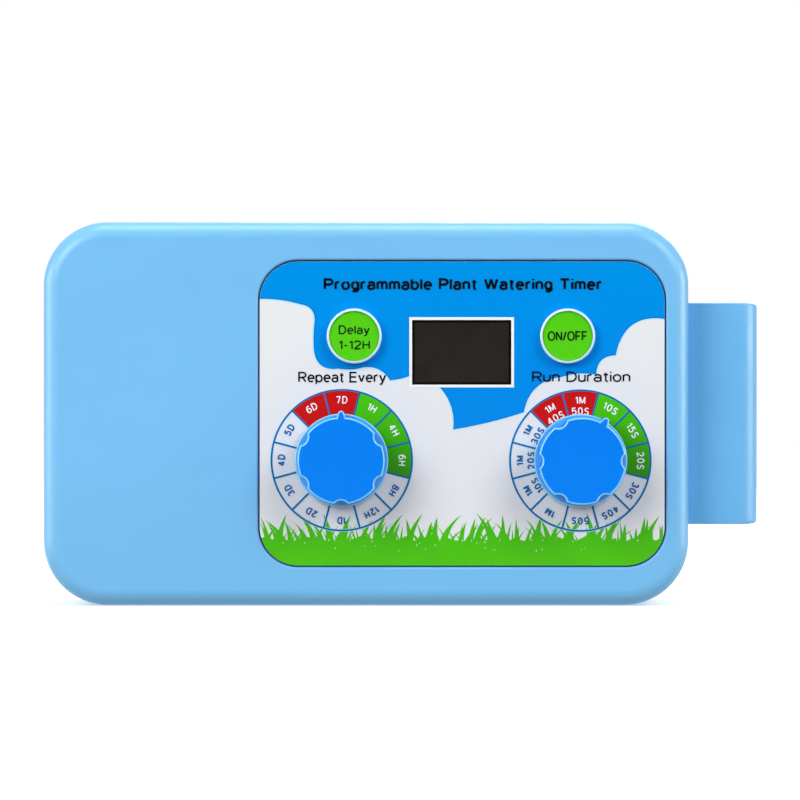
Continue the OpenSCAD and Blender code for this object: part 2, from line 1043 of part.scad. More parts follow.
module pump_diaphragm() {
    color(rubber_grey)
        place()
            on_pump_axis()
                difference() {
                    union() {
                        rod(pump_r, crank_high, diaphragm_high);
                        for (i = [0 : 2])
                            rotate(120 * i)
                                translate([6, 0, 0])
                                    rod(2.4, crank_high - 0.3, crank_high + eps);
                    }
                    at_head_screws()
                        rod(1, crank_high - 1, diaphragm_high + 1);
                }
}

module valve_plate() {
    color(white_plastic)
        place()
            on_pump_axis()
                difference() {
                    rod(pump_r, diaphragm_high, valve_high);
                    for (i = [0 : 2])
                        rotate(60 + 120 * i)
                            translate([6, 0, 0])
                                rod(1, diaphragm_high - 1, valve_high + 1);
                    rod(1.4, diaphragm_high - 1, valve_high + 1);
                    at_head_screws()
                        rod(1, diaphragm_high - 1, valve_high + 1);
                }
}

// Turned outline of a hose spigot: neck, straight land and two barbs no wider than the land
module spigot_outline() {
    neck = 35.6;
    land = neck + 2.6;
    root = spigot_r - 0.35;
    polygon([[0, head_high - 1], [spigot_r + 0.7, head_high - 1], [spigot_r + 0.7, neck],
        [spigot_r, neck], [spigot_r, land], [root, land], [root, land + 0.6],
        [spigot_r, land + 0.6], [root, land + 2.8], [spigot_r, land + 2.8],
        [root - 0.1, spigot_high], [0, spigot_high]]);
}

module pump_head() {
    color(white_plastic)
        place()
            on_pump_axis()
                difference() {
                    union() {
                        rod(pump_r, valve_high, head_high);
                        for (sx = [-1, 1])
                            translate([sx * spigot_pitch / 2, 0, 0])
                                rotate_extrude()
                                    spigot_outline();
                    }
                    for (sx = [-1, 1])
                        translate([sx * spigot_pitch / 2, 0, 0])
                            rod(1.2, valve_high - 1, spigot_high + 1);
                    at_head_screws() {
                        rod(1, valve_high - 1, head_high + 1);
                        rod(2.3, head_high - 1.6, head_high + 1);
                    }
                }
}

module head_screws() {
    color(steel)
        place()
            on_pump_axis()
                at_head_screws()
                    translate([0, 0, head_high - 1.6])
                        screw(0.9, 12, 1.4);
}

module pump_sleeve() {
    color(rubber_grey)
        place()
            on_pump_axis()
                difference() {
                    rod(can_r + 1.5, -15, 7);
                    rod(can_r + 0.02, -16, 8);
                }
}

module pump_strap() {
    r_in = can_r + 1.55;
    color(white_plastic)
        place()
            difference() {
                union() {
                    on_pump_axis()
                        rod(r_in + 1.6, strap_y[0], strap_y[1]);
                    block([pump_x - strap_ear_x - 3.4, strap_y[0], pump_z],
                        [pump_x + strap_ear_x + 3.4, strap_y[1], pump_z + 2]);
                }
                on_pump_axis()
                    rod(r_in, strap_y[0] - 1, strap_y[1] + 1);
                block([pump_x - 30, strap_y[0] - 1, 0], [pump_x + 30, strap_y[1] + 1, pump_z]);
                for (sx = [-1, 1])
                    translate([pump_x + sx * strap_ear_x, (strap_y[0] + strap_y[1]) / 2, 0])
                        rod(1.3, pump_z - 1, pump_z + 3);
            }
}

module strap_screws() {
    color(steel)
        place()
            for (sx = [-1, 1])
                translate([pump_x + sx * strap_ear_x, (strap_y[0] + strap_y[1]) / 2, pump_z + 2])
                    screw(1, 9, 1.5);
}

// ---------- screws ----------

module case_screws() {
    color(steel)
        place()
            at_case_screws()
                translate([0, 0, seat_z])
                    mirror([0, 0, 1])
                        screw(1.2, 13, 2);
}

module board_screws() {
    color(steel)
        place()
            at_board_posts()
                translate([0, 0, board_z])
                    mirror([0, 0, 1])
                        screw(0.85, 7, 1.5);
}

front_shell();
rear_shell();
hanging_hook();
battery_door();
front_overlay();
display_window();
led_display();
circuit_board();
controller_chip();
pump_driver();
storage_capacitor();
small_components();
buzzer();
wire_connectors();
interval_switch();
duration_switch();
interval_shaft();
duration_shaft();
interval_knob();
duration_knob();
delay_switch();
power_switch();
delay_cap();
power_cap();
delay_insert();
power_insert();
delay_plunger();
power_plunger();
battery_cells();
spring_contacts();
plate_contacts();
battery_leads();
pump_leads();
motor_can();
motor_end_cap();
motor_magnets();
motor_armature();
motor_shaft();
pump_eccentric();
crank_housing();
wobble_plate();
pump_diaphragm();
valve_plate();
pump_head();
head_screws();
pump_sleeve();
pump_strap();
strap_screws();
case_screws();
board_screws();
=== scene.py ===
"""A wall or pot-rim drip irrigation timer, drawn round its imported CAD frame.

Most pieces are drawn in the panel's own frame, in millimetres: x to the right, y up the panel and
z out of it, with z = 0 on the case's back face. PANEL stands them up in the frame's own metres.
"""
import json
import math
import random

import bmesh
import bpy
from mathutils import Matrix, Vector

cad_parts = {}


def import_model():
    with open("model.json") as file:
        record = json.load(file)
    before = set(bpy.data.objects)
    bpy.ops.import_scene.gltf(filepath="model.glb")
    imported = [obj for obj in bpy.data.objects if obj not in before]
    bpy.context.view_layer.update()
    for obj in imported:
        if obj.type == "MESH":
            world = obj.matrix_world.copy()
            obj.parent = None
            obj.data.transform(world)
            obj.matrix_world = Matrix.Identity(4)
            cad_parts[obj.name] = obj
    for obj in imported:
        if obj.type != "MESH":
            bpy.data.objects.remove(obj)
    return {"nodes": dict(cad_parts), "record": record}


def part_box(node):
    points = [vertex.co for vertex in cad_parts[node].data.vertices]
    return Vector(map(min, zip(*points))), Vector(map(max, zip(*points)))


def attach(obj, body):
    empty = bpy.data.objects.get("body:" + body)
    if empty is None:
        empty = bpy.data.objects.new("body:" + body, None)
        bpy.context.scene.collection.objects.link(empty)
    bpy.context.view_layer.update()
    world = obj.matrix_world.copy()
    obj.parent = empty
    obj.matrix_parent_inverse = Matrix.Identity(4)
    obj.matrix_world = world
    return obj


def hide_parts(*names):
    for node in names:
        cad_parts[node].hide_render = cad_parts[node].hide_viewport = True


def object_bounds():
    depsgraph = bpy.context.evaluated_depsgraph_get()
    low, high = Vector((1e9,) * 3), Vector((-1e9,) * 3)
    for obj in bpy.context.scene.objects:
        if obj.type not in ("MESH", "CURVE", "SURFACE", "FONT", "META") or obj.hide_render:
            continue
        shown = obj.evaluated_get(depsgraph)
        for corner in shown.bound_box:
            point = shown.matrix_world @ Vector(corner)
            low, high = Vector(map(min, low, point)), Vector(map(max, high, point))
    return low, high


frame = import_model()
cad_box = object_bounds()
NODES = frame["nodes"]
MM = 0.001


# --- the panel's frame and the sizes read from the CAD ---

case_low, case_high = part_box("front_shell")
PANEL = Matrix((  # from panel millimetres to the frame's metres
    (MM, 0, 0, (case_low.x + case_high.x) / 2),
    (0, 0, -MM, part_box("rear_shell")[1].y),
    (0, MM, 0, (case_low.z + case_high.z) / 2),
    (0, 0, 0, 1),
))
TO_PANEL = PANEL.inverted()


class Box:
    """A CAD node's box in panel millimetres."""

    def __init__(self, node):
        a, b = (TO_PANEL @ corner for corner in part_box(node))
        (self.x0, self.x1), (self.y0, self.y1), (self.z0, self.z1) = map(sorted, zip(a, b))
        self.x, self.y = (self.x0 + self.x1) / 2, (self.y0 + self.y1) / 2
        self.half_x, self.half_y = (self.x1 - self.x0) / 2, (self.y1 - self.y0) / 2

    def outline(self, r, in_by, steps=16):
        """Seen from the front, with corners of radius r, and all of it moved inwards by in_by."""
        return rounded_rect(self.x, self.y, self.half_x - in_by, self.half_y - in_by, r - in_by, steps)


lid = Box("front_shell")
rear = Box("rear_shell")
door = Box("battery_door")
hook = Box("hanging_hook")
overlay = Box("front_overlay")
delay_key = Box("delay_cap")
power_key = Box("power_cap")
interval_knob = Box("interval_knob")
duration_knob = Box("duration_knob")

CORNER_R = 14.8  # the case's corners seen from the front
EDGE_R = 4.0  # its rounded front edge
WALL = 2.2
FACE = 2.4
RECESS_GAP = 0.3  # between the overlay and the wall of its recess
OVERLAY_R = 9.0  # the overlay's corners
LIP_R = 0.6  # rounding of the recess's lip
SPLIT = 0.3  # half of the V-shaped line where the two shells meet
TONGUE_IN = 1.2  # the rear shell's tongue, measured in from the outside
JOINT_Z = rear.z1 - 1.5  # height of the joint, below the top of the tongue
SLACK = 0.1
TOWER_AT = (65.5, 35.0)  # case screws
TOWER_R = (4.0, 1.25)  # outer radius and bore
POST_AT = (40.0, 27.0)  # board posts, from the panel's middle
POST_R = (3.0, 0.9)
PUMP_AT = (-48.0, 16.5)  # the pump's axis: x and z
BAY = (-4.0, 56.4, 30.6, 18.0)  # battery bay: left, right, half height, roof
CELL_PITCH = 15.3
POCKET = (-48.0, 16.5, 12.0, 8.5)  # hose pocket in the upper end wall: x, z and half sides
POCKET_R = 0.8
POCKET_FLOOR_Y = 34.5
INNER_WALL = 1.6  # the bay's and the pocket's
SPIGOT_AT = 7  # the hose spigots' distance from the pocket's middle
WINDOW = (22.2, 14.2, 11.5, 7.5)  # centre and half sides of the display's opening
KEY_HOLE_R = 6.6
SHAFT_HOLE_R = 4.2
INTERVAL_AT = (-5.6, -10.8)
DURATION_AT = (49.7, -10.9)
INTERVAL_TURN = 0.0  # where each pointer stands, in degrees clockwise from the top
DURATION_TURN = 30.0
INK = 0.012  # thickness of one layer of print
RING_R = 16.5  # outer radius of a dial's printed ring
SECTOR = 30.0  # degrees of one printed sector


# --- outlines ---

def circle(x, y, r, steps=72):
    turn = 2 * math.pi / steps
    return [(x + r * math.cos(turn * i), y + r * math.sin(turn * i)) for i in range(steps)]


def rounded_rect(x, y, half_x, half_y, r, steps=16):
    """Counter-clockwise outline, with steps points on each corner's arc."""
    points = []
    for quarter, (sx, sy) in enumerate(((1, 1), (-1, 1), (-1, -1), (1, -1))):
        for i in range(steps + 1):
            a = math.pi / 2 * (quarter + i / steps)
            points.append((x + sx * (half_x - r) + r * math.cos(a),
                           y + sy * (half_y - r) + r * math.sin(a)))
    return points


def oblong(x0, x1, y0, y1):
    return [(x0, y0), (x1, y0), (x1, y1), (x0, y1)]


def rect(x, y, half_x, half_y):
    return oblong(x - half_x, x + half_x, y - half_y, y + half_y)


def inset(points, distance):
    """The outline moved inwards, or outwards where distance is below zero."""
    moved = []
    for i, (x, y) in enumerate(points):
        before, after = points[i - 1], points[(i + 1) % len(points)]
        a = Vector((x - before[0], y - before[1])).normalized()
        b = Vector((after[0] - x, after[1] - y)).normalized()
        way = Vector((-(a.y + b.y), a.x + b.x)).normalized()
        reach = distance / max(way.dot(Vector((-a.y, a.x))), 0.6)
        moved.append((x + way.x * reach, y + way.y * reach))
    return moved


def at_height(points, z):
    return [(x, y, z) for x, y in points]


def quarter_turn(steps):
    """(1 - cos, 1 - sin) of steps + 1 angles from 0 to 90 degrees: the two sides of a rounded edge."""
    angles = (math.pi / 2 * i / steps for i in range(steps + 1))
    return [(1 - math.cos(a), 1 - math.sin(a)) for a in angles]


def turned_at(centre, clockwise):
    """Turns a form round its origin, in degrees, and moves it to the centre."""
    return Matrix.Translation((*centre, 0)) @ Matrix.Rotation(-math.radians(clockwise), 4, "Z")


def polar(centre, r, clockwise):
    """The point at radius r and an angle in degrees, clockwise from the top."""
    a = math.radians(clockwise)
    return centre[0] + r * math.sin(a), centre[1] + r * math.cos(a)


def sector_outline(centre, r0, r1, start, end, steps=14):
    outer = [polar(centre, r1, start + (end - start) * i / steps) for i in range(steps + 1)]
    inner = [polar(centre, r0, end + (start - end) * i / steps) for i in range(steps + 1)]
    return outer + inner


def bar_outline(centre, r0, r1, clockwise, width):
    side = math.degrees(width / 2 / r0)
    far_side = math.degrees(width / 2 / r1)
    return [polar(centre, r0, clockwise - side), polar(centre, r1, clockwise - far_side),
            polar(centre, r1, clockwise + far_side), polar(centre, r0, clockwise + side)]


def arc_path(start, legs, steps=14):
    """A path of arcs. Each leg is (end x, end y, bulge): how far the arc's middle stands to the
    left of the straight way, in millimetres."""
    points = [Vector(start)]
    for x, y, bulge in legs:
        a, b = points[-1], Vector((x, y))
        chord = b - a
        left = Vector((-chord.y, chord.x)).normalized()
        for i in range(1, steps + 1):
            t = i / steps
            points.append(a + chord * t + left * bulge * 4 * t * (1 - t))
    return [tuple(p) for p in points]


# --- meshes ---

def loft(bm, rings, material=0, closed=False):
    """Joins rings of equal length, counter-clockwise seen from +z and listed upwards. The ends are
    capped, or joined to each other where closed."""
    rows = [[bm.verts.new(p) for p in ring] for ring in rings]
    if closed:
        rows.append(rows[0])
    materials = material if isinstance(material, list) else [material] * (len(rings) + 1)
    for k, (low, high) in enumerate(zip(rows, rows[1:])):
        for i in range(len(low)):
            face = bm.faces.new((low[i - 1], low[i], high[i], high[i - 1]))
            face.material_index = materials[k]
    if not closed:
        bm.faces.new(rows[0][::-1]).material_index = materials[0]
        bm.faces.new(rows[-1]).material_index = materials[-1]
    return bm


def prism(points, z0, z1, bm=None):
    pairs = zip(points, points[1:] + points[:1])
    if sum(a[0] * b[1] - b[0] * a[1] for a, b in pairs) < 0:  # it runs clockwise
        points = points[::-1]
    return loft(bm or bmesh.new(), [at_height(points, z0), at_height(points, z1)])


def turned(profile, x, y, steps):
    return [at_height(circle(x, y, r, steps), z) for r, z in profile]


def lathe(profile, x, y, steps=96, material=0):
    """Turns a profile of (radius, z), listed from its low end up, about an axis along z."""
    return loft(bmesh.new(), turned(profile, x, y, steps), material)


def quarter_round(r, z, reach, steps=6):
    """(radius, z) points of a rounded outer edge that ends at radius r - reach and height z."""
    return [(r - reach * c, z - reach * s) for c, s in quarter_turn(steps)]


def linked(name, data):
    obj = bpy.data.objects.new(name, data)
    bpy.context.scene.collection.objects.link(obj)
    return obj


def mesh_object(name, bm, materials=()):
    """An object of the mesh, which is used up, with the named materials."""
    mesh = bpy.data.meshes.new(name)
    bm.to_mesh(mesh)
    bm.free()
    for m in materials:
        mesh.materials.append(MATERIALS[m])
    return linked(name, mesh)


def modify(obj, kind, **settings):
    made = obj.modifiers.new(kind.lower(), kind)
    for name, value in settings.items():
        setattr(made, name, value)


def combine(bm, tool, operation="DIFFERENCE", materials=(), crossing=False):
    """Exact boolean of two closed meshes. Both are used up."""
    a, b = (mesh_object("temporary", form, materials) for form in (bm, tool))
    modify(a, "BOOLEAN", operation=operation, solver="EXACT", use_self=crossing, object=b)
    done = a.evaluated_get(bpy.context.evaluated_depsgraph_get()).to_mesh()
    result = bmesh.new()
    result.from_mesh(done)
    for obj in (a, b):
        mesh = obj.data
        bpy.data.objects.remove(obj)
        bpy.data.meshes.remove(mesh)
    return result


def cut(bm, outlines, z0, z1, **settings):
    """Cuts each outline out of bm, from z0 up to z1."""
    for outline in outlines:
        bm = combine(bm, prism(outline, z0, z1), **settings)
    return bm


def merge(bm, other):
    """Adds another mesh to bm and uses it up."""
    mesh = bpy.data.meshes.new("temporary")
    other.to_mesh(mesh)
    bm.from_mesh(mesh)
    bpy.data.meshes.remove(mesh)
    other.free()
    return bm


def piece(name, bm, slot, body="case", stands_for=(), materials=None, sharp=32):
    """Makes a named piece out of a mesh in panel millimetres, shaded smooth up to the sharp angle.
    Its materials are those named, in the order of the mesh's material numbers, or else its slot's."""
    bmesh.ops.remove_doubles(bm, verts=bm.verts, dist=1e-5)
    bmesh.ops.recalc_face_normals(bm, faces=bm.faces)
    bm.transform(PANEL)
    obj = mesh_object(name, bm, materials or [slot])
    obj.data.shade_smooth()
    obj.data.set_sharp_from_angle(angle=math.radians(sharp))
    modify(obj, "WEIGHTED_NORMAL", keep_sharp=True)
    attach(obj, body)
    if stands_for:
        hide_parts(*stands_for)


# --- materials ---

def linear(colour, factor=1.0):
    """Linear colour of an 8-bit sRGB colour, times a factor."""
    def channel(v):
        v /= 255
        v = v / 12.92 if v <= 0.04045 else ((v + 0.055) / 1.055) ** 2.4
        return min(v * factor, 1.0)
    return (*map(channel, colour), 1.0)


def add_node(tree, kind, **inputs):
    """A new shader node. Each input is a value or another node's output; _ stands for a space."""
    node = tree.nodes.new("ShaderNode" + kind)
    for name, given in inputs.items():
        socket = node.inputs[name.replace("_", " ")]
        if isinstance(given, bpy.types.NodeSocket):
            tree.links.new(given, socket)
        else:
            socket.default_value = given
    return node


def map_range(tree, source, in_low, in_high, out_low, out_high):
    return add_node(tree, "MapRange", Value=source, From_Min=in_low, From_Max=in_high,
                    To_Min=out_low, To_Max=out_high).outputs["Result"]


class Shader:
    """A node material around one Principled shader, with its noise in the frame's own metres."""

    def __init__(self, name, **settings):
        self.material = bpy.data.materials.new(name)
        self.material.use_nodes = True
        self.tree = self.material.node_tree
        self.main = self.tree.nodes["Principled BSDF"]
        for socket, value in settings.items():
            socket = socket.replace("_", " ").title().replace("Ior", "IOR")
            self.main.inputs[socket].default_value = value
        self.place = self.add("TexCoord").outputs["Object"]

    def add(self, kind, **inputs):
        return add_node(self.tree, kind, **inputs)

    def drive(self, socket, source):
        self.tree.links.new(source, self.main.inputs[socket])

    def noise(self, scale, detail=3.0, roughness=0.55, stretch=None):
        place = self.place
        if stretch:
            place = self.add("Mapping", Vector=place, Scale=stretch).outputs["Vector"]
        return self.add("TexNoise", Vector=place, Scale=scale, Detail=detail,
                        Roughness=roughness).outputs["Fac"]

    def ramp(self, source, *stops):
        node = self.add("ValToRGB", Fac=source)
        while len(node.color_ramp.elements) < len(stops):
            node.color_ramp.elements.new(0.5)
        for element, (position, colour) in zip(node.color_ramp.elements, stops):
            element.position = position
            element.color = colour
        return node.outputs["Color"]

    def tint(self, source, colour, low, high=1.0):
        """The colour, made darker or lighter by low where the noise is low and by high elsewhere."""
        ends = (0.3, linear(colour, low)), (0.7, linear(colour, high))
        self.drive("Base Color", self.ramp(source, *ends))

    def rough(self, scale, low, high):
        self.drive("Roughness", map_range(self.tree, self.noise(scale), 0.3, 0.7, low, high))

    def along(self, axis, low, high):
        """0 to 1 between two places along x, y or z, in metres."""
        split = self.add("SeparateXYZ", Vector=self.place)
        return map_range(self.tree, split.outputs[axis], low, high, 0, 1)

    def multiply(self, a, b):
        node = self.add("Mix", Factor=1.0)
        node.data_type = "RGBA"
        node.blend_type = "MULTIPLY"
        for source, socket in ((a, 6), (b, 7)):  # the sockets for two colours
            self.tree.links.new(source, node.inputs[socket])
        return node.outputs[2]

    def bump(self, source, strength, distance=0.0001):
        node = self.add("Bump", Strength=strength, Distance=distance, Height=source)
        previous = self.main.inputs["Normal"].links
        if previous:
            self.tree.links.new(previous[0].from_socket, node.inputs["Normal"])
        self.drive("Normal", node.outputs["Normal"])


def moulded(name, colour, rough=(0.3, 0.42), grain=0.12, drift=0.03, specular=0.5, coat=0.0):
    """Injection-moulded plastic: faint flow marks in the colour, and a fine spark-eroded grain."""
    s = Shader(name, specular_ior_level=specular, coat_weight=coat)
    s.tint(s.noise(14, 4, 0.6, (1, 1, 2.5)), colour, 1 - drift, 1 + drift)
    s.rough(160, *rough)
    s.bump(s.noise(2600, 2), grain, 0.00002)
    s.bump(s.noise(45, 2), 0.04, 0.0002)
    return s.material


PRINT_LOW, PRINT_HIGH = (corner.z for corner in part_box("front_overlay"))


def printed_ink(name, foot, head, low=PRINT_LOW, high=PRINT_HIGH, mottle=0.015, grain=900):
    """Screen-printed ink under a clear gloss film. Its tone changes slowly between two heights; on the
    dials' red and green this change is painted shade.
    """
    s = Shader(name, specular_ior_level=0.13)
    tone = s.ramp(s.along("Z", low, high), (0.0, linear(foot)), (1.0, linear(head)))
    speckle = s.ramp(s.noise(grain, 3), (0.3, (1 - mottle,) * 3 + (1.0,)), (0.7, (1.0,) * 4))
    s.drive("Base Color", s.multiply(tone, speckle))
    s.rough(220, 0.12, 0.16)
    s.bump(s.noise(70, 2), 0.03, 0.0001)
    return s.material


def metal(name, colour):
    """Plated or drawn metal with fine lines along one way."""
    s = Shader(name, metallic=1.0)
    lines = s.noise(300, 3, 0.6, (1, 1, 30))
    s.tint(lines, colour, 0.86)
    s.rough(500, 0.2, 0.34)
    s.bump(lines, 0.1, 0.00003)
    return s.material


def winding(name, colour):
    """Enamelled copper wire, wound side by side, with painted shade darkening the grooves between its
    turns.
    """
    s = Shader(name, roughness=0.3, metallic=0.8)
    wave = s.add("TexWave", Vector=s.place, Scale=900, Distortion=1.2).outputs["Fac"]
    s.drive("Base Color", s.ramp(wave, (0.1, linear(colour, 0.45)), (0.6, linear(colour))))
    s.bump(wave, 0.5, 0.0001)
    return s.material


def board(name, colour):
    """Solder mask over copper tracks: square-cornered lighter runs on a dark green."""
    s = Shader(name, roughness=0.35, coat_weight=0.3)
    upright = s.add("Mapping", Vector=s.place, Rotation=(math.pi / 2, 0, 0)).outputs["Vector"]
    tracks = s.add("TexBrick", Vector=upright, Scale=140, Mortar_Size=0.05, Mortar=linear(colour, 1.8),
                   Color1=linear(colour, 0.8), Color2=linear(colour))
    s.drive("Base Color", tracks.outputs["Color"])
    s.bump(tracks.outputs["Fac"], 0.2, 0.00005)
    return s.material


def jacket(name, colour, band):
    """A battery's plastic sleeve: a plain dark colour with a bright band round one end."""
    s = Shader(name, coat_weight=0.6, coat_roughness=0.1)
    low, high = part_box("battery_cells")
    stops = ((0.0, colour), (0.7, colour), (0.705, band), (0.98, band))
    s.drive("Base Color", s.ramp(s.along("X", low.x, high.x), *((at, linear(c)) for at, c in stops)))
    s.rough(300, 0.22, 0.3)
    s.bump(s.noise(120, 2), 0.05, 0.0001)
    return s.material


def rubber(name, colour):
    s = Shader(name)
    s.tint(s.noise(80, 4), colour, 0.85)
    s.rough(200, 0.6, 0.75)
    s.bump(s.noise(1800, 2), 0.2, 0.00004)
    return s.material


def see_through(name, colour, alpha, roughness=0.08):
    """Clear moulded plastic, thin enough that light passes straight through it."""
    s = Shader(name, roughness=roughness, alpha=alpha)
    s.tint(s.noise(60, 2), colour, 0.97)
    s.bump(s.noise(300, 2), 0.03, 0.00005)
    return s.material


RECIPES = {  # what makes each material, and what it is told
    "case_blue": (moulded, (116, 190, 239)),
    # A little darker than case_blue: painted shade, as the hook lies deeper, in the case's shadow.
    "hook_blue": (moulded, (106, 184, 237)),
    "window_smoke": (moulded, (40, 35, 32), (0.08, 0.14), 0.02, 0.1, 0.3),
    "display_black": (moulded, (14, 14, 16), (0.3, 0.4), 0.05),
    "black_plastic": (moulded, (24, 25, 28), (0.45, 0.6), 0.2, 0.1),
    "capacitor_blue": (moulded, (20, 44, 110), (0.25, 0.35), 0.03),
    "white_plastic": (moulded, (226, 228, 226), (0.35, 0.5), 0.15),
    "knob_blue": (moulded, (0, 128, 246), (0.2, 0.28), 0.04, 0.02, 0.15),
    # A lighter blue on the knobs' rounded edges: a painted highlight, standing for light caught in the
    # translucent plastic.
    "knob_edge": (moulded, (120, 208, 255), (0.12, 0.18), 0.02, 0.02, 0.5, 0.5),
    "knob_foot": (see_through, (84, 188, 255), 0.85, 0.15),
    "key_clear": (moulded, (226, 246, 250), (0.06, 0.1), 0.02, 0.01),
    "key_green": (moulded, (84, 208, 12), (0.25, 0.32), 0.04, 0.02, 0.2),
    "key_wall": (moulded, (206, 238, 246), (0.1, 0.16), 0.02, 0.02, 0.5, 0.4),
    "key_top": (see_through, (120, 232, 80), 0.015),
    "magnet_grey": (moulded, (70, 70, 74), (0.5, 0.65), 0.4, 0.12),
    "board_green": (board, (18, 92, 52)),
    "cell_jacket": (jacket, (28, 30, 36), (196, 122, 44)),
    "spring_steel": (metal, (198, 200, 204)),
    "copper_winding": (winding, (196, 104, 48)),
    "rubber_grey": (rubber, (84, 88, 94)),
    "lead_red": (rubber, (186, 24, 24)),
    "lead_black": (rubber, (24, 24, 26)),
    # Dark navy on the overlay's cut edges and at the bottom of the gap round it: painted shade of that
    # narrow gap, partly the film's own edge.
    "overlay_edge": (moulded, (8, 62, 112), (0.3, 0.4), 0.03, 0.05),
    "overlay_print": (printed_ink, (230, 232, 234), (236, 238, 240)),
    "ink_cloud": (printed_ink, (230, 232, 234), (236, 238, 240)),
    "ink_sky": (printed_ink, (0, 130, 234), (0, 148, 234)),
    # The red grows lighter towards the top: painted shade.
    "ink_red": (printed_ink, (196, 18, 18), (214, 22, 20)),
    "ink_line": (printed_ink, (8, 104, 166), (14, 112, 172)),
    "ink_halo": (printed_ink, (186, 232, 250), (196, 236, 252)),
    "ink_deep": (printed_ink, (0, 118, 206), (0, 116, 204)),
    "ink_black": (printed_ink, (10, 12, 18), (12, 14, 20)),
    "ink_white": (printed_ink, (244, 247, 250), (248, 250, 252)),
    "ink_mask": (printed_ink, (6, 6, 7), (7, 7, 8)),
    # Dark low down and bright higher up: painted shade, the lower green sectors as if in the knob's
    # shadow.
    "ink_green": (printed_ink, (50, 150, 8), (78, 206, 20), PRINT_LOW + 0.02, PRINT_LOW + 0.042),
    "ink_leaf": (printed_ink, (78, 200, 4), (68, 190, 2), PRINT_LOW, PRINT_LOW + 0.012, 0.1, 90),
}
MATERIALS = {name: make(name, *told) for name, (make, *told) in RECIPES.items()}


# --- carried-over CAD nodes ---

DOOR_EDGE = 0.3  # rounding of the battery door's edges


def dress_nodes():
    """Gives each CAD node its material, and rounds the door's edges with modifiers: the node's own
    mesh stays as packed."""
    slots = {s["node"]: s["material_slot"] for s in frame["record"]["subparts"]}
    for node, obj in NODES.items():
        for i in range(len(obj.data.materials)):
            obj.data.materials[i] = MATERIALS[slots[node]]
    obj = NODES["battery_door"]
    modify(obj, "WELD", merge_threshold=1e-6)
    modify(obj, "DECIMATE", decimate_type="DISSOLVE", angle_limit=math.radians(1))
    modify(obj, "BEVEL", width=DOOR_EDGE * MM, segments=3, limit_method="ANGLE",
           angle_limit=math.radians(40))
    modify(obj, "WEIGHTED_NORMAL", keep_sharp=True)


# --- the panel's outlines ---

def overlay_outline(in_by=0.0):
    return overlay.outline(OVERLAY_R, in_by)


def panel_holes(shaft_r=SHAFT_HOLE_R, key_r=None):
    """The display's opening, then the keys' and the shafts' holes. Without a radius the keys only
    just fit theirs."""
    keys = [circle(key.x, key.y, key_r or key.half_x + 0.06) for key in (delay_key, power_key)]
    return [rect(*WINDOW)] + keys + [circle(*at, shaft_r) for at in (INTERVAL_AT, DURATION_AT)]


# --- the two shells ---

CORNERS = [(sx, sy) for sx in (-1, 1) for sy in (-1, 1)]


def case_ring(z, in_by):
    return at_height(lid.outline(CORNER_R, in_by, 20), z)


def case_rim(face, in_by, r, up=1, steps=10):
    """Rings round the case's edge, listed upwards, that curve into the flat face at height face."""
    rings = [case_ring(face - up * r * s, in_by + r * c) for c, s in quarter_turn(steps)]
    return rings if up > 0 else list(reversed(rings))


def block(x0, x1, y0, y1, z0, z1):
    return prism(oblong(x0, x1, y0, y1), z0, z1)


def hoop(profile, x, y, steps):
    """Turns a closed profile of (radius, z) about an axis along z. It runs up outside, down inside."""
    return loft(bmesh.new(), turned(profile, x, y, steps), closed=True)


def tube(x, y, outer, inner, z0, z1, steps=40):
    return hoop([(outer, z0), (outer, z1), (inner, z1), (inner, z0)], x, y, steps)


def flared(outline, z0, z1, mouth, steps=5):
    """A cutter for an opening whose mouth, at height z0, is rounded outwards."""
    rings = [at_height(inset(outline, -mouth), z0 - 1)]
    rings += [at_height(inset(outline, -mouth * s), z0 + mouth * c) for c, s in quarter_turn(steps)]
    rings.append(at_height(outline, z1))
    return loft(bmesh.new(), rings)


def from_end_wall(bm):
    """Turns a form made in (x, z of the panel, depth) to run down from the upper end wall."""
    bm.transform(Matrix(((1, 0, 0, 0), (0, 0, -1, lid.y1), (0, 1, 0, 0), (0, 0, 0, 1))))
    return bm


def battery_bay():
    """The bay's walls, roof and ribs, and the shelf round it that carries the door."""
    left, right, half, roof = BAY
    shelf_z, shelf_t = 2.5, 1.7
    rib_from_end, rib_half_t, rib_deep = 10, 0.25, 2.5
    bm = block(left - INNER_WALL, right + INNER_WALL, -half - INNER_WALL, half + INNER_WALL, shelf_z,
               roof + INNER_WALL)
    shelf = block(door.x0 - 2, door.x1 + 2, door.y0 - 3, door.y1 - WALL, shelf_z, shelf_z + shelf_t)
    bm = combine(bm, shelf, "UNION")
    space = block(left, right, -half, half, 0, roof)
    for y in (-CELL_PITCH, 0, CELL_PITCH):
        space = combine(space, block(left + rib_from_end, right - rib_from_end, y - rib_half_t,
                                     y + rib_half_t, roof - rib_deep, roof + 1))
    return combine(bm, space)


def hose_pocket():
    x, z, half_x, half_z = POCKET
    depth, floor_t, spigot_hole_r = lid.y1 - POCKET_FLOOR_Y, 2, 3.3
    bm = prism(rect(x, z, half_x + INNER_WALL, half_z + INNER_WALL), WALL, depth + floor_t)
    bm = cut(bm, [rounded_rect(*POCKET, POCKET_R, 6)], 0, depth)
    holes = [circle(x + sx * SPIGOT_AT, z, spigot_hole_r, 40) for sx in (-1, 1)]
    bm = cut(bm, holes, depth - 1, depth + 3)
    return from_end_wall(bm)


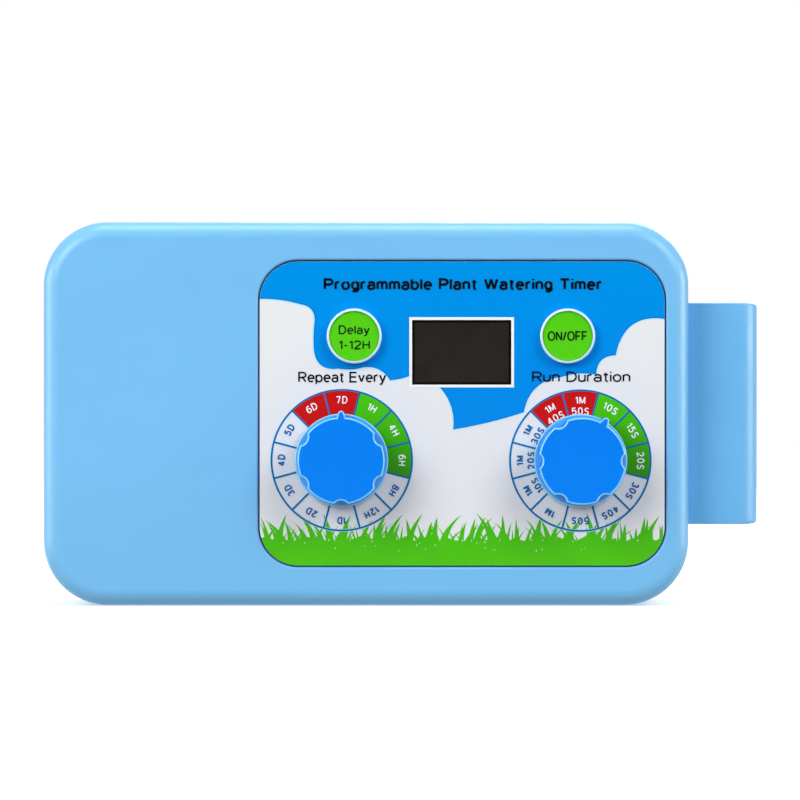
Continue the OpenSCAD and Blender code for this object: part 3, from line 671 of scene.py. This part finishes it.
def pump_rests():
    """Two saddles under the motor and two ears for its strap."""
    x, z = PUMP_AT
    low, high, reach, r = FACE - 0.1, 11.0, 15.5, 13.8  # of each saddle, r being its seat's
    saddle_t, ear_r, ear_at = 2, 3, (19, -4)
    swing = math.acos((z - high) / r)
    seat = [(x + r * math.sin(swing * (i / 12 - 1)), z - r * math.cos(swing * (i / 12 - 1)))
            for i in range(25)]
    outline = [(x + reach, high), (x + reach, low), (x - reach, low), (x - reach, high)] + seat
    bm = bmesh.new()
    for y in (-12, 6):
        merge(bm, from_end_wall(prism(outline, lid.y1 - y, lid.y1 - y + saddle_t)))
    for sx in (-1, 1):
        merge(bm, lathe([(ear_r, low), (ear_r, z - 0.1)], x + sx * ear_at[0], ear_at[1], 32))
    return bm


def rear_piece():
    """The rear shell with everything moulded into it."""
    back, foot = rear.z0, JOINT_Z
    rings = case_rim(back, 0, EDGE_R, -1) + [case_ring(foot - SPLIT, 0), case_ring(foot, SPLIT)]
    rings += [case_ring(foot, TONGUE_IN), case_ring(rear.z1, TONGUE_IN)]
    hollow = case_rim(back + FACE, WALL, EDGE_R - WALL, -1) + [case_ring(rear.z1 + 1, WALL)]
    bm = combine(loft(bmesh.new(), rings), loft(bmesh.new(), hollow))

    fit, rail, groove = 0.2, 1.4, (0.9, 1.9)  # round the door, and the grooves for its rails
    well_r, head_r, shank_r, head_z = 4.2, 3.2, 1.7, 20  # of the case screws
    slot_deep = 3  # of the hook's notch, from the joint
    way = oblong(door.x0 + rail, door.x1 - rail, door.y0 - fit, lid.y1 + 2)
    cutters = [flared(way, back, FACE + 0.1, 0.3),
               block(door.x0 - fit, door.x1 + fit, door.y0 - fit, lid.y1 + 2, *groove),
               from_end_wall(flared(rounded_rect(*POCKET, POCKET_R, 6), 0, WALL + 1, 0.6)),
               block(lid.x1 - WALL - 1, lid.x1 + 1, hook.y0 - fit, hook.y1 + fit, foot - slot_deep,
                     rear.z1 + 1)]
    towers = [(sx * TOWER_AT[0], sy * TOWER_AT[1]) for sx, sy in CORNERS]
    cutters[2:2] = [flared(circle(*at, head_r, 48), back, FACE + 1, 0.35) for at in towers]
    for cutter in cutters:
        bm = combine(bm, cutter)
    for at in towers:
        merge(bm, hoop([(well_r, FACE - 0.2), (well_r, foot), (shank_r, foot), (shank_r, head_z),
                        (head_r, head_z), (head_r, FACE - 0.2)], *at, 48))
    for part in (battery_bay(), hose_pocket(), pump_rests()):
        merge(bm, part)
    piece("back_moulding", bm, "case_blue", stands_for=["rear_shell"])


def lid_piece():
    """The front shell with its rounded edge, the sunk panel, the openings, towers and posts."""
    front, foot = lid.z1, JOINT_Z
    rings = [case_ring(foot, SPLIT), case_ring(foot + SPLIT, 0)] + case_rim(front, 0, EDGE_R)
    bm = loft(bmesh.new(), rings)
    rebate = rear.z1 + SLACK
    hollow = [case_ring(foot - 1, TONGUE_IN - SLACK), case_ring(rebate, TONGUE_IN - SLACK),
              case_ring(rebate, WALL)]
    bm = combine(bm, loft(bmesh.new(), hollow + case_rim(front - FACE, WALL, EDGE_R - WALL)))

    def recess(z, out_by):
        return at_height(overlay_outline(-(RECESS_GAP + out_by)), z)

    lip = [recess(overlay.z0, 0)]
    lip += [recess(front - LIP_R * s, LIP_R * c) for c, s in quarter_turn(10)]
    lip.append(recess(front + 1, LIP_R))
    bm = combine(bm, loft(bmesh.new(), lip))

    bm = cut(bm, panel_holes(SHAFT_HOLE_R + 0.8, KEY_HOLE_R), foot, front + 1)
    inside = front - FACE + 0.1
    for sx, sy in CORNERS:
        merge(bm, tube(sx * TOWER_AT[0], sy * TOWER_AT[1], *TOWER_R, foot, inside))
        merge(bm, tube(overlay.x + sx * POST_AT[0], sy * POST_AT[1], *POST_R, lid.z0, inside))
    piece("lid_moulding", bm, "case_blue", stands_for=["front_shell"])


# --- the hanging hook ---

HOOK_T = 2.8  # thickness of the strip that the hook is moulded as
HOOK_BEND = 5.0  # outer radius of its bend
HOOK_LIP = 3.0  # size of the lip that holds its root inside the case
HOOK_EDGE_R = 0.4


def filleted(corners, steps=8):
    """The outline through right-angled corners, given as (x, y, radius)."""
    points = []
    for i, (x, y, r) in enumerate(corners):
        here = Vector((x, y))
        back = (Vector(corners[i - 1][:2]) - here).normalized()
        ahead = (Vector(corners[(i + 1) % len(corners)][:2]) - here).normalized()
        centre = here + (back + ahead) * r
        points += [tuple(centre - (ahead * (1 - c) + back * (1 - s)) * r)
                   for c, s in quarter_turn(steps)]
    return points


def hook_piece():
    """The hook: its side view drawn out along the case's end, with all its edges rounded."""
    root, tip, low, top = hook.x0, hook.x1, hook.z0, hook.z1
    under = top - HOOK_T
    r, tip_r = 0.5, 0.9
    side = filleted([
        (root, under - HOOK_LIP, r), (root + HOOK_LIP, under - HOOK_LIP, r),
        (root + HOOK_LIP, under, r), (tip - HOOK_T, under, HOOK_BEND - HOOK_T),
        (tip - HOOK_T, low, tip_r), (tip, low, tip_r), (tip, top, HOOK_BEND), (root, top, r)])
    taper_from = tip - HOOK_BEND
    ends = []
    for from_end, drop in quarter_turn(16):  # the bend's own corners have a radius of 1 mm
        near = max(HOOK_EDGE_R - from_end, 0)
        outline = inset(side, HOOK_EDGE_R - math.sqrt(HOOK_EDGE_R ** 2 - near ** 2))
        ends.append([(x - drop * max(x - taper_from, 0) / HOOK_BEND, hook.y1 - from_end, z)
                     for x, z in outline])
    mirrored = [[(x, 2 * hook.y - y, z) for x, y, z in ring] for ring in reversed(ends)]
    bm = loft(bmesh.new(), ends + mirrored)
    piece("hook_moulding", bm, "hook_blue", stands_for=["hanging_hook"])


# --- the printed overlay ---

def sheet_piece():
    """The overlay's film. Its cut edges are darker than its face: partly the film's own edge, partly
    painted shade of the narrow gap round it.
    """
    bevel = 0.08
    levels = (0, overlay.z0), (0, overlay.z1 - bevel), (bevel, overlay.z1)
    bm = loft(bmesh.new(), [at_height(overlay_outline(r), z) for r, z in levels], [1, 1, 0])
    materials = ["overlay_print", "overlay_edge"]
    bm = cut(bm, panel_holes(), overlay.z0 - 1, overlay.z1 + 1, materials=materials)
    piece("overlay_sheet", bm, "overlay_print", stands_for=["front_overlay"], materials=materials)


def gap_shade_piece():
    """A dark strip at the bottom of the gap round the overlay: painted shade where the gap lies in
    shadow.
    """
    out_by = RECESS_GAP - 0.02
    bm = prism(overlay_outline(-out_by), overlay.z0, overlay.z0 + 0.06)
    bm = cut(bm, [overlay_outline(0.02)], overlay.z0 - 1, overlay.z0 + 1)
    piece("overlay_gap_shade", bm, "overlay_print", materials=["overlay_edge"])


def ink_level(layer):
    return overlay.z1 + INK * layer


def ink_prism(outline, layer, bm=None):
    return prism(outline, ink_level(layer), ink_level(layer + 1), bm)


def trimmed(bm, holes=(), crossing=False):
    """Print cut to the overlay's edge and round the openings."""
    through = overlay.z1 - 1, overlay.z1 + 1
    bm = combine(bm, prism(overlay_outline(0.1), *through), "INTERSECT", crossing=crossing)
    return cut(bm, holes, *through)


def ink_piece(name, bm, ink):
    piece(name, bm, "overlay_print", materials=["ink_" + ink])


CLOUD_TOP = (-26, 26.5), [  # the left cloud's edge, from left to right
    (-15.2, 25.3, 0.5), (-11.9, 21.6, 1.1), (-12.1, 15.0, -0.15), (-6.4, 10.4, -1.9),
    (-0.6, 10.7, -0.35), (5.6, 7.7, 1.1), (10.4, 8.8, -0.2),
]
CLOUD_UNDER = (17.0, 6.2), [  # the edge of the cloud bank that goes on from it
    (20.2, -3.7, 1.2), (36.6, 0.3, -0.35), (45.4, 8.5, 2.2), (53.4, 9.0, 0.5),
    (57.9, 13.5, 1.5), (70.5, 21.7, 3.8),
]


BELOW = [(overlay.x1 + 1, overlay.y0 - 1), (overlay.x0 - 1, overlay.y0 - 1)]  # past the lower edge


def cloud_outline():
    corner = [(10.4, 6.2)]
    return arc_path(*CLOUD_TOP) + corner + arc_path(*CLOUD_UNDER) + BELOW


def ribbon(path, near, far):
    """A strip along an open path, from near to far millimetres to its left."""
    sides = [], []
    for i, (x, y) in enumerate(path):
        way = Vector(path[min(i + 1, len(path) - 1)]) - Vector(path[max(i - 1, 0)])
        left = Vector((-way.y, way.x)).normalized()
        for side, offset in zip(sides, (near, far)):
            side.append((x + left.x * offset, y + left.y * offset))
    return sides[0] + sides[1][::-1]


def sky_and_cloud_pieces():
    holes = panel_holes()
    ink_piece("sky_print", trimmed(ink_prism(overlay_outline(0.05), 0), holes), "sky")
    ink_piece("cloud_print", trimmed(ink_prism(cloud_outline(), 1), holes[1:]), "cloud")
    for name, near, far, layer, ink in (("cloud_shade_print", 0.0, 0.28, 1, "deep"),
                                        ("cloud_rim_print", -0.3, 0.02, 2, "halo")):
        bm = bmesh.new()
        for edge in (CLOUD_TOP, CLOUD_UNDER):
            ink_prism(ribbon(arc_path(*edge), near, far), layer, bm)
        ink_piece(name, trimmed(bm), ink)


def blade_outline(x, y, height, lean, width, steps=6):
    """A grass blade: it bends more towards its tip."""
    left, right = [], []
    for i in range(steps + 1):
        t = i / steps
        cx = x + lean * t ** 1.8
        cy = y + height * t
        half = width / 2 * (1 - t) ** 0.75
        left.append((cx - half, cy))
        right.append((cx + half, cy))
    return right[:-1] + [left[-1]] + list(reversed(left[:-1]))


def grass_piece():
    rng = random.Random(11)
    ground = overlay.y0 + 6.4
    bm = bmesh.new()
    top = [(overlay.x0 - 1, ground)]
    x = overlay.x0
    while x < overlay.x1:
        top.append((x, ground + rng.uniform(-0.7, 0.5)))
        x += rng.uniform(0.8, 1.8)
    top += [(overlay.x1 + 1, ground)] + BELOW
    ink_prism(top, 3, bm)
    kinds = ((20, (4.2, 6.2), 4.2, (1.3, 2.0)), (34, (3.0, 5.0), 3.8, (1.0, 1.6)),
             (56, (2.0, 3.8), 3.2, (0.6, 1.1)), (56, (1.0, 2.4), 2.0, (0.4, 0.8)))
    for count, heights, lean, widths in kinds:
        pitch = (overlay.x1 - overlay.x0) / count
        for i in range(count):
            x = overlay.x0 + pitch * (i + rng.uniform(0.0, 1.0))
            outline = blade_outline(x, ground - 1.2, rng.uniform(*heights) + 1.2,
                                    rng.uniform(-lean, lean), rng.uniform(*widths))
            ink_prism(outline, 3, bm)
    bm = trimmed(bm, crossing=True)
    flecks = bmesh.new()
    for _ in range(30):  # specks of bare film low in the grass
        x, y = rng.uniform(overlay.x0 + 4, overlay.x1 - 4), ground - rng.uniform(0.3, 3.2)
        tall = rng.uniform(0.25, 0.6)
        right, tip = x + rng.uniform(0.05, 0.2), x + rng.uniform(-0.15, 0.15)
        prism([(x - 0.12, y), (right, y), (tip, y + tall)], overlay.z1 - 1, overlay.z1 + 1, flecks)
    ink_piece("grass_print", combine(bm, flecks), "leaf")


# --- the dials' rings ---

DIALS = (  # each dial's middle, and the labels of its sectors, clockwise from the top
    (INTERVAL_AT, "7D,1H,4H,6H,8H,12H,1D,2D,3D,4D,5D,6D"),
    (DURATION_AT, "1M 50S,10S,15S,20S,30S,40S,50S,1M,1M 10S,1M 20S,1M 30S,1M 40S"),
)
SECTOR_INKS = {11: "red", 0: "red", 1: "green", 2: "green", 3: "green"}
LINE_W = 0.42
DIAL_LINES = (("halo", 4, 0.1), ("line", 6, 0))  # part, its layer, and how far it spreads


def ring_pieces():
    parts = {name: bmesh.new() for name in ("red", "green", "halo", "line")}
    for centre, _ in DIALS:
        for k in range(12):
            start = SECTOR * (k - 0.5)
            if k in SECTOR_INKS:
                outline = sector_outline(centre, SHAFT_HOLE_R + 1, RING_R - 0.1, start, start + SECTOR)
                ink_prism(outline, 5, parts[SECTOR_INKS[k]])
            for name, layer, spread in DIAL_LINES:
                bar = bar_outline(centre, SHAFT_HOLE_R + 1, RING_R - 0.2, start, LINE_W + 2 * spread)
                prism(bar, ink_level(layer), ink_level(layer + 0.8), parts[name])
        for name, layer, spread in DIAL_LINES:
            merge(parts[name], tube(*centre, RING_R + spread, RING_R - LINE_W - spread,
                                    ink_level(layer), ink_level(layer + 1), 120))
    for ink, name in (("red", "dial_sectors_red"), ("green", "dial_sectors_green"),
                      ("halo", "dial_glow_lines"), ("line", "dial_lines")):
        ink_piece(name, parts[ink], ink)


# --- lettering ---

def arc(x, y, rx, ry, start, end):
    """Points of an elliptical arc, with its angles in degrees counter-clockwise from +x."""
    steps = max(3, round(abs(end - start) / 20))
    angles = (math.radians(start + (end - start) * i / steps) for i in range(steps + 1))
    return [(x + rx * math.cos(a), y + ry * math.sin(a)) for a in angles]


def oval(x, y, rx, ry):
    return arc(x, y, rx, ry, 90, 450)


STEM, SHORT_STEM = [(0, 0), (0, 1)], [(0, 0), (0, 0.72)]
BOWL = [(0, 0.46), (0.32, 0.46)] + arc(0.32, 0.73, 0.28, 0.27, -90, 90) + [(0, 1), (0, 0)]
ARCH = arc(0.22, 0.48, 0.22, 0.24, 180, 0)
GLYPHS = {  # the middle lines of each letter's strokes; a capital is 1 high
    "0": [oval(0.3, 0.5, 0.3, 0.5)],
    "1": [[(0.02, 0.76), (0.25, 1), (0.25, 0)]],
    "2": [arc(0.3, 0.72, 0.28, 0.28, 165, -38) + [(0, 0), (0.6, 0)]],
    "3": [arc(0.28, 0.75, 0.26, 0.25, 155, -90), arc(0.28, 0.25, 0.3, 0.25, 90, -155)],
    "4": [[(0.62, 0.29), (0, 0.29), (0.44, 1), (0.44, 0)]],
    "5": [[(0.55, 1), (0.1, 1), (0.04, 0.5)] + arc(0.27, 0.33, 0.31, 0.33, 130, -150)],
    "6": [oval(0.3, 0.32, 0.29, 0.32), arc(0.4, 0.42, 0.39, 0.58, 62, 185)],
    "7": [[(0, 1), (0.58, 1), (0.2, 0)]],
    "8": [oval(0.3, 0.76, 0.25, 0.24), oval(0.3, 0.26, 0.3, 0.26)],
    "D": [[(0.26, 0), (0, 0), (0, 1)] + arc(0.26, 0.5, 0.38, 0.5, 90, -90)],
    "E": [[(0.56, 1), (0, 1), (0, 0), (0.56, 0)], [(0, 0.52), (0.5, 0.52)]],
    "F": [[(0.54, 1), (0, 1), (0, 0)], [(0, 0.5), (0.46, 0.5)]],
    "H": [STEM, [(0.6, 0), (0.6, 1)], [(0, 0.52), (0.6, 0.52)]],
    "M": [[(0, 0), (0, 1), (0.38, 0.06), (0.76, 1), (0.76, 0)]],
    "N": [[(0, 0), (0, 1), (0.6, 0), (0.6, 1)]],
    "O": [oval(0.38, 0.5, 0.38, 0.5)],
    "P": [BOWL],
    "R": [BOWL, [(0.32, 0.46), (0.6, 0)]],
    "S": [arc(0.29, 0.75, 0.26, 0.25, 25, 270) + arc(0.29, 0.25, 0.29, 0.25, 80, -155)],
    "T": [[(0, 1), (0.68, 1)], [(0.34, 1), (0.34, 0)]],
    "W": [[(0, 1), (0.24, 0), (0.47, 1), (0.7, 0), (0.94, 1)]],
    "a": [arc(0.25, 0.5, 0.22, 0.22, 160, 0) + [(0.47, 0)], arc(0.24, 0.21, 0.24, 0.21, 60, 420)],
    "b": [STEM, oval(0.25, 0.36, 0.25, 0.36)],
    "e": [[(0.02, 0.38), (0.5, 0.38)] + arc(0.26, 0.36, 0.25, 0.36, 10, 310)],
    "g": [oval(0.23, 0.37, 0.24, 0.35),
          [(0.47, 0.72), (0.47, 0)] + arc(0.24, 0, 0.23, 0.24, 0, -150)],
    "i": [SHORT_STEM, [(0, 0.92), (0, 1.04)]],
    "l": [STEM],
    "m": [SHORT_STEM, arc(0.18, 0.5, 0.18, 0.22, 180, 0) + [(0.36, 0)],
          arc(0.54, 0.5, 0.18, 0.22, 180, 0) + [(0.72, 0)]],
    "n": [SHORT_STEM, ARCH + [(0.44, 0)]],
    "o": [oval(0.26, 0.36, 0.26, 0.36)],
    "p": [[(0, -0.26), (0, 0.72)], oval(0.25, 0.36, 0.25, 0.36)],
    "r": [SHORT_STEM, arc(0.22, 0.46, 0.22, 0.26, 180, 75)],
    "t": [[(0.14, 0.94), (0.14, 0.16)] + arc(0.27, 0.15, 0.13, 0.15, 180, 280),
          [(0, 0.72), (0.3, 0.72)]],
    "u": [[(0, 0.72)] + arc(0.21, 0.22, 0.21, 0.22, 180, 350), [(0.44, 0.72), (0.44, 0)]],
    "v": [[(0, 0.72), (0.23, 0), (0.46, 0.72)]],
    "y": [[(0, 0.72), (0.24, 0.02)], [(0.48, 0.72), (0.2, -0.14), (0.12, -0.25), (0, -0.26)]],
    "/": [[(0, -0.02), (0.3, 1.02)]],
    "-": [[(0, 0.42), (0.28, 0.42)]],
    " ": [],
}


def across(strokes):
    return max((x for path in strokes for x, _ in path), default=0.2)


def stroke(bm, path, half, z0, z1):
    """Sweeps a flat rectangle along a path, with mitred corners."""
    rings = []
    closed = (Vector(path[0]) - Vector(path[-1])).length < 1e-6
    for i, at in enumerate(path):
        before = path[i - 1] if i else path[-2] if closed else None
        after = path[i + 1] if i + 1 < len(path) else path[1] if closed else None
        ways = [(Vector(b) - Vector(a)).normalized()
                for a, b in ((before, at), (at, after)) if a is not None and b is not None]
        left = sum((Vector((-w.y, w.x)) for w in ways), Vector((0, 0))).normalized()
        reach = half / max(left.dot(Vector((-ways[0].y, ways[0].x))), 0.62)
        a, b = Vector(at) + left * reach, Vector(at) - left * reach
        rings.append([(*a, z0), (*b, z0), (*b, z1), (*a, z1)])
    loft(bm, rings)


def legs(path):
    """The path cut at its sharp corners, so that each leg keeps its full width."""
    parts = [[path[0]]]
    for before, at, after in zip(path, path[1:], path[2:]):
        parts[-1].append(at)
        turn = (Vector(at) - Vector(before)).angle(Vector(after) - Vector(at), 0)
        if turn > math.radians(100):
            parts.append([at])
    parts[-1].append(path[-1])
    return parts


def write(bm, body, centre, cap, z, turn=0.0, width=None, weight=0.14, gap=0.24):
    """Adds a line of lettering, centred on a point. turn is in degrees clockwise, and weight is
    the strokes' width against the capitals' height."""
    size = cap * (1 - weight)
    widths = [across(GLYPHS[c]) for c in body]
    length = sum(widths) + gap * (len(body) - 1)
    stretch = (width - weight * cap) / (length * size) if width else 1.0
    place = turned_at(centre, turn)
    x = -length / 2
    for character, advance in zip(body, widths):
        paths = [leg for path in GLYPHS[character] for leg in legs(path)]
        for k, path in enumerate(paths):
            points = [place @ Vector(((x + px) * size * stretch, (py - 0.5) * size, 0))
                      for px, py in path]
            top = z + INK * (1 + 0.15 * k)
            stroke(bm, [(p.x, p.y) for p in points], weight * cap / 2, z, top)
        x += advance + gap


def write_round(bm, body, centre, radius, clockwise, cap, z, weight):
    """Writes a short label letter by letter round a dial, tops outwards."""
    widths = [across(GLYPHS[c]) * cap * 0.86 for c in body]
    gap = 0.33 * cap
    along = -(sum(widths) + gap * (len(body) - 1)) / 2
    for character, wide in zip(body, widths):
        away = clockwise + math.degrees((along + wide / 2) / radius)
        write(bm, character, polar(centre, radius, away), cap, z, away, weight=weight)
        along += wide + gap


def dial_lettering():
    pale, blue = bmesh.new(), bmesh.new()
    for centre, labels in DIALS:
        for k, label in enumerate(labels.split(",")):
            bm, weight = (pale, 0.15) if k in SECTOR_INKS else (blue, 0.2)
            for line, word in enumerate(label.split()):
                write_round(bm, word, centre, 14.0 - 2.5 * line, SECTOR * k, 1.75, ink_level(7), weight)
    ink_piece("dial_marks_white", pale, "white")
    ink_piece("dial_marks_blue", blue, "line")


def panel_lettering():
    bm = bmesh.new()
    z = ink_level(7)
    for words, centre, cap, width, weight, gap in (
            ("Programmable Plant Watering Timer", (22.5, 30.0), 2.8, 64.6, 0.195, 0.26),
            ("Repeat Every", (-5.5, 8.45), 2.5, 20.4, 0.15, 0.2),
            ("Run Duration", (49.9, 8.55), 2.5, 22.8, 0.15, 0.2)):
        write(bm, words, centre, cap, z, width=width, weight=weight, gap=gap)
    ink_piece("panel_lettering", bm, "black")


# --- the display ---

def window_frame(outer, inner, z0, z1):
    """A flat frame: its outline and its opening are the display's opening, grown by outer and inner."""
    x, y, half_x, half_y = WINDOW
    bm = prism(rect(x, y, half_x + outer, half_y + outer), z0, z1)
    return cut(bm, [rect(x, y, half_x + inner, half_y + inner)], z0 - 1, z1 + 1)


def display_pieces():
    ink_piece("display_border_print", window_frame(0.64, 0, ink_level(6), ink_level(7)), "white")
    lens_top = Box("display_window").z1
    mask = window_frame(-0.08, -0.6, lens_top, lens_top + INK)
    piece("display_mask", mask, "window_smoke", materials=["ink_mask"])


# --- the keys ---

def key_pieces(name, key, insert, body, legend):
    x, y, outer, top = key.x, key.y, key.half_x, key.z1
    inner = insert.half_x + 0.2
    crown = 0.5
    wall = [(outer, key.z0)] + quarter_round(outer, top, crown, 8) + [(inner, top), (inner, key.z0)]
    disc_top = top - 0.35  # the clear cap lifts the disc's image to just below its face
    piece(name + "_rim", hoop(wall, x, y, 96), "key_clear", body, [name + "_cap"], ["key_wall"])
    dome = [(inner - 0.02, disc_top + 0.05), (inner - 0.02, top - 0.12)]
    dome += [(inner - 0.5, top - 0.03), (inner - 1.4, top)]
    piece(name + "_lens", lathe(dome, x, y), "key_clear", body, materials=["key_top"])
    disc = [(inner - 0.03, insert.z0), (inner - 0.03, disc_top - 0.2), (inner - 0.2, disc_top - 0.04),
            (inner - 0.55, disc_top - 0.04), (inner - 0.75, disc_top)]
    piece(name + "_disc", lathe(disc, x, y), "key_green", body, [name + "_insert"])
    bm = bmesh.new()
    for word, height, cap, width in legend:
        write(bm, word, (x, y + height), cap, disc_top, width=width, weight=0.165)
    piece(name + "_legend", bm, "key_green", body, materials=["ink_black"])


# --- the knobs ---

SCALLOP_R = 2.0
SCALLOP_AT = 11.1
KNOB_R = 10.0
FLANGE_R = 10.8
FLANGE_T = 1.4
POINTER_TIP = 11.5
POINTER_SIDE = [(1.55, 8.3), (0.62, 11.15), (0.3, 11.42)]
CAVITY_R = 8.1  # under the grip, with a hub in its middle
HUB_R = 4.6
SHAFT_R = 3.02  # the shaft's bore in the hub


def knob_outline(steps=300):
    """The grip's outline, pointer upwards: a circle with a scallop every sixty degrees."""
    points = []
    for i in range(steps):
        a = math.tau * i / steps
        r = KNOB_R
        for k in range(1, 6):
            off = a - (math.pi / 2 + k * math.pi / 3)
            aside = SCALLOP_AT * math.sin(off)
            if abs(aside) < SCALLOP_R and math.cos(off) > 0:
                r = min(r, SCALLOP_AT * math.cos(off) - math.sqrt(SCALLOP_R ** 2 - aside ** 2))
        points.append((r * math.cos(a), r * math.sin(a)))
    return points


def rounded_top(outline, foot, top, bevel, steps=5):
    rings = [at_height(outline, foot)]
    rings += [at_height(inset(outline, bevel * c), top - bevel * s) for c, s in quarter_turn(steps)]
    return rings


def knob_piece(name, knob, centre, turn, body):
    foot, top = knob.z0, knob.z1
    shoulder = foot + FLANGE_T
    ridge = 0.25  # how far the pointer's ridge stands above the grip's flat top
    # Material 1, on the rounded edges of the grip, the pointer and the flange, is a painted highlight.
    materials = ["knob_blue", "knob_edge", "knob_foot"]
    grip = rounded_top(knob_outline(), shoulder - 0.4, top - ridge, 0.36)
    bm = loft(bmesh.new(), grip, [0] + [1] * (len(grip) - 2) + [0])
    wedge = POINTER_SIDE + [(0, POINTER_TIP)] + [(-x, y) for x, y in reversed(POINTER_SIDE)]
    arrow = rounded_top(wedge, shoulder - 0.3, top, 0.3, 3)
    root = min(y for _, y, _ in arrow[-1])
    arrow = [[(x, y, z - max(0.0, 1 - (y - root) / 1.6) * (ridge + 0.1) if z > top - 0.6 else z)
              for x, y, z in ring] for ring in arrow]
    arrow = loft(bmesh.new(), arrow, [0] + [1] * (len(arrow) - 2) + [0])
    bm = combine(bm, arrow, "UNION", materials)
    flange = [(FLANGE_R - 0.15, foot), (FLANGE_R, foot + 0.15)] + quarter_round(FLANGE_R, shoulder, 0.3)
    faces = [2, 2] + [1] * (len(flange) - 3) + [2, 2]
    bm = combine(bm, lathe(flange, 0, 0, material=faces), "UNION", materials)
    hollow = lathe([(CAVITY_R, foot - 1), (CAVITY_R, top - 2.4)], 0, 0)
    hub = lathe([(HUB_R, foot + 0.4), (HUB_R, top)], 0, 0)
    bore = lathe([(SHAFT_R, foot - 1), (SHAFT_R, top - 2.9)], 0, 0, 48)
    for tool in (combine(hollow, hub), bore):
        bm = combine(bm, tool, materials=materials)
    bm.transform(turned_at(centre, turn))
    piece(name, bm, "knob_blue", body, [body.replace("_dial", "_knob")], materials, sharp=50)


# --- the stage ---

PHOTO_MM = 185.4  # width of the picture at the case's front face
DISTANCE_MM = 950.0  # from the camera to the front face
LOOK_AT = (7.9, 3.15)  # where the picture's centre falls on the panel
LIT_POINT = Vector((0, 0, 0.045))  # where the lights point, in metres


def camera():
    data = bpy.data.cameras.new("camera")
    data.sensor_width = 36
    data.lens = data.sensor_width * DISTANCE_MM / PHOTO_MM
    data.clip_end = 20
    obj = linked("camera", data)
    obj.location = PANEL @ Vector((*LOOK_AT, lid.z1 + DISTANCE_MM))
    obj.rotation_euler = (math.pi / 2, 0, 0)
    bpy.context.scene.camera = obj


LIGHTS = (  # name, place in metres, diameter, watts, and whether it lights surfaces
    ("key", (-0.8, -0.95, 0.65), 0.8, 11.0, True),  # or is only seen mirrored in them
    ("fill", (0.9, -0.95, 0.8), 0.8, 9.4, True),
    ("left", (-0.85, -0.12, 0.08), 0.6, 5.0, False),
    ("right", (0.95, -0.12, 0.08), 0.6, 6.5, False),
    ("top", (0, -0.1, 0.95), 0.6, 4.2, False),
    ("back", (0.3, 1.0, 0.6), 0.8, 5.0, True),
)


def area_light(name, at, size, power, lights_up):
    """A round softbox that points at LIT_POINT."""
    data = bpy.data.lights.new(name, "AREA")
    data.shape = "DISK"
    data.size = size
    data.energy = power
    obj = linked(name, data)
    obj.location = at
    obj.rotation_euler = (LIT_POINT - Vector(at)).to_track_quat("-Z", "Y").to_euler()
    obj.visible_diffuse = lights_up


STUDIO_LIGHT = (  # how bright the studio is by height, and by how far behind the object:
                               # between which places, and the brightness at each
    ("Z", (-0.7, 0.1, 0.6, 0.78)),
    ("Y", (-0.86, -0.6, 0.04, 1.0)),
)


def world():
    """A white studio: brighter overhead than underneath, and plain white behind the object."""
    made = bpy.data.worlds.new("studio")
    made.use_nodes = True
    bpy.context.scene.world = made
    tree = made.node_tree
    way = add_node(tree, "SeparateXYZ", Vector=add_node(tree, "TexCoord").outputs["Generated"])
    strength = add_node(tree, "Math")
    strength.operation = "MULTIPLY"
    for i, (axis, limits) in enumerate(STUDIO_LIGHT):
        tree.links.new(map_range(tree, way.outputs[axis], *limits), strength.inputs[i])
    lit = tree.nodes["Background"]
    tree.links.new(strength.outputs["Value"], lit.inputs["Strength"])
    plain = add_node(tree, "Background")
    choice = add_node(tree, "MixShader", Fac=add_node(tree, "LightPath").outputs["Is Camera Ray"])
    for i, background in ((1, lit), (2, plain)):
        background.inputs["Color"].default_value = (1, 1, 1, 1)
        tree.links.new(background.outputs["Background"], choice.inputs[i])
    tree.links.new(choice.outputs["Shader"], tree.nodes["World Output"].inputs["Surface"])


def floor():
    bm = bmesh.new()
    bmesh.ops.create_grid(bm, x_segments=1, y_segments=1, size=3)
    s = Shader("floor", roughness=0.9, specular_ior_level=0.1, base_color=(0.9, 0.9, 0.9, 1),
               emission_color=(1, 1, 1, 1), emission_strength=0.34)
    obj = mesh_object("floor", bm)
    obj.data.materials.append(s.material)
    obj.location.z = cad_box[0].z - 0.0002
    obj.visible_diffuse = False


def studio():
    bpy.context.scene.view_settings.view_transform = "Standard"
    world()
    floor()
    for light in LIGHTS:
        area_light(*light)
    camera()


# --- everything ---

dress_nodes()
rear_piece()
lid_piece()
hook_piece()
sheet_piece()
gap_shade_piece()
sky_and_cloud_pieces()
grass_piece()
ring_pieces()
dial_lettering()
panel_lettering()
display_pieces()
key_pieces("delay", delay_key, Box("delay_insert"), "delay_key",
           [("Delay", 1.45, 2.15, 7.2), ("1-12H", -2.05, 2.15, 7.3)])
key_pieces("power", power_key, Box("power_insert"), "power_key", [("ON/OFF", 0, 2.35, 9.3)])
knob_piece("interval_grip", interval_knob, INTERVAL_AT, INTERVAL_TURN, "interval_dial")
knob_piece("duration_grip", duration_knob, DURATION_AT, DURATION_TURN, "duration_dial")
studio()
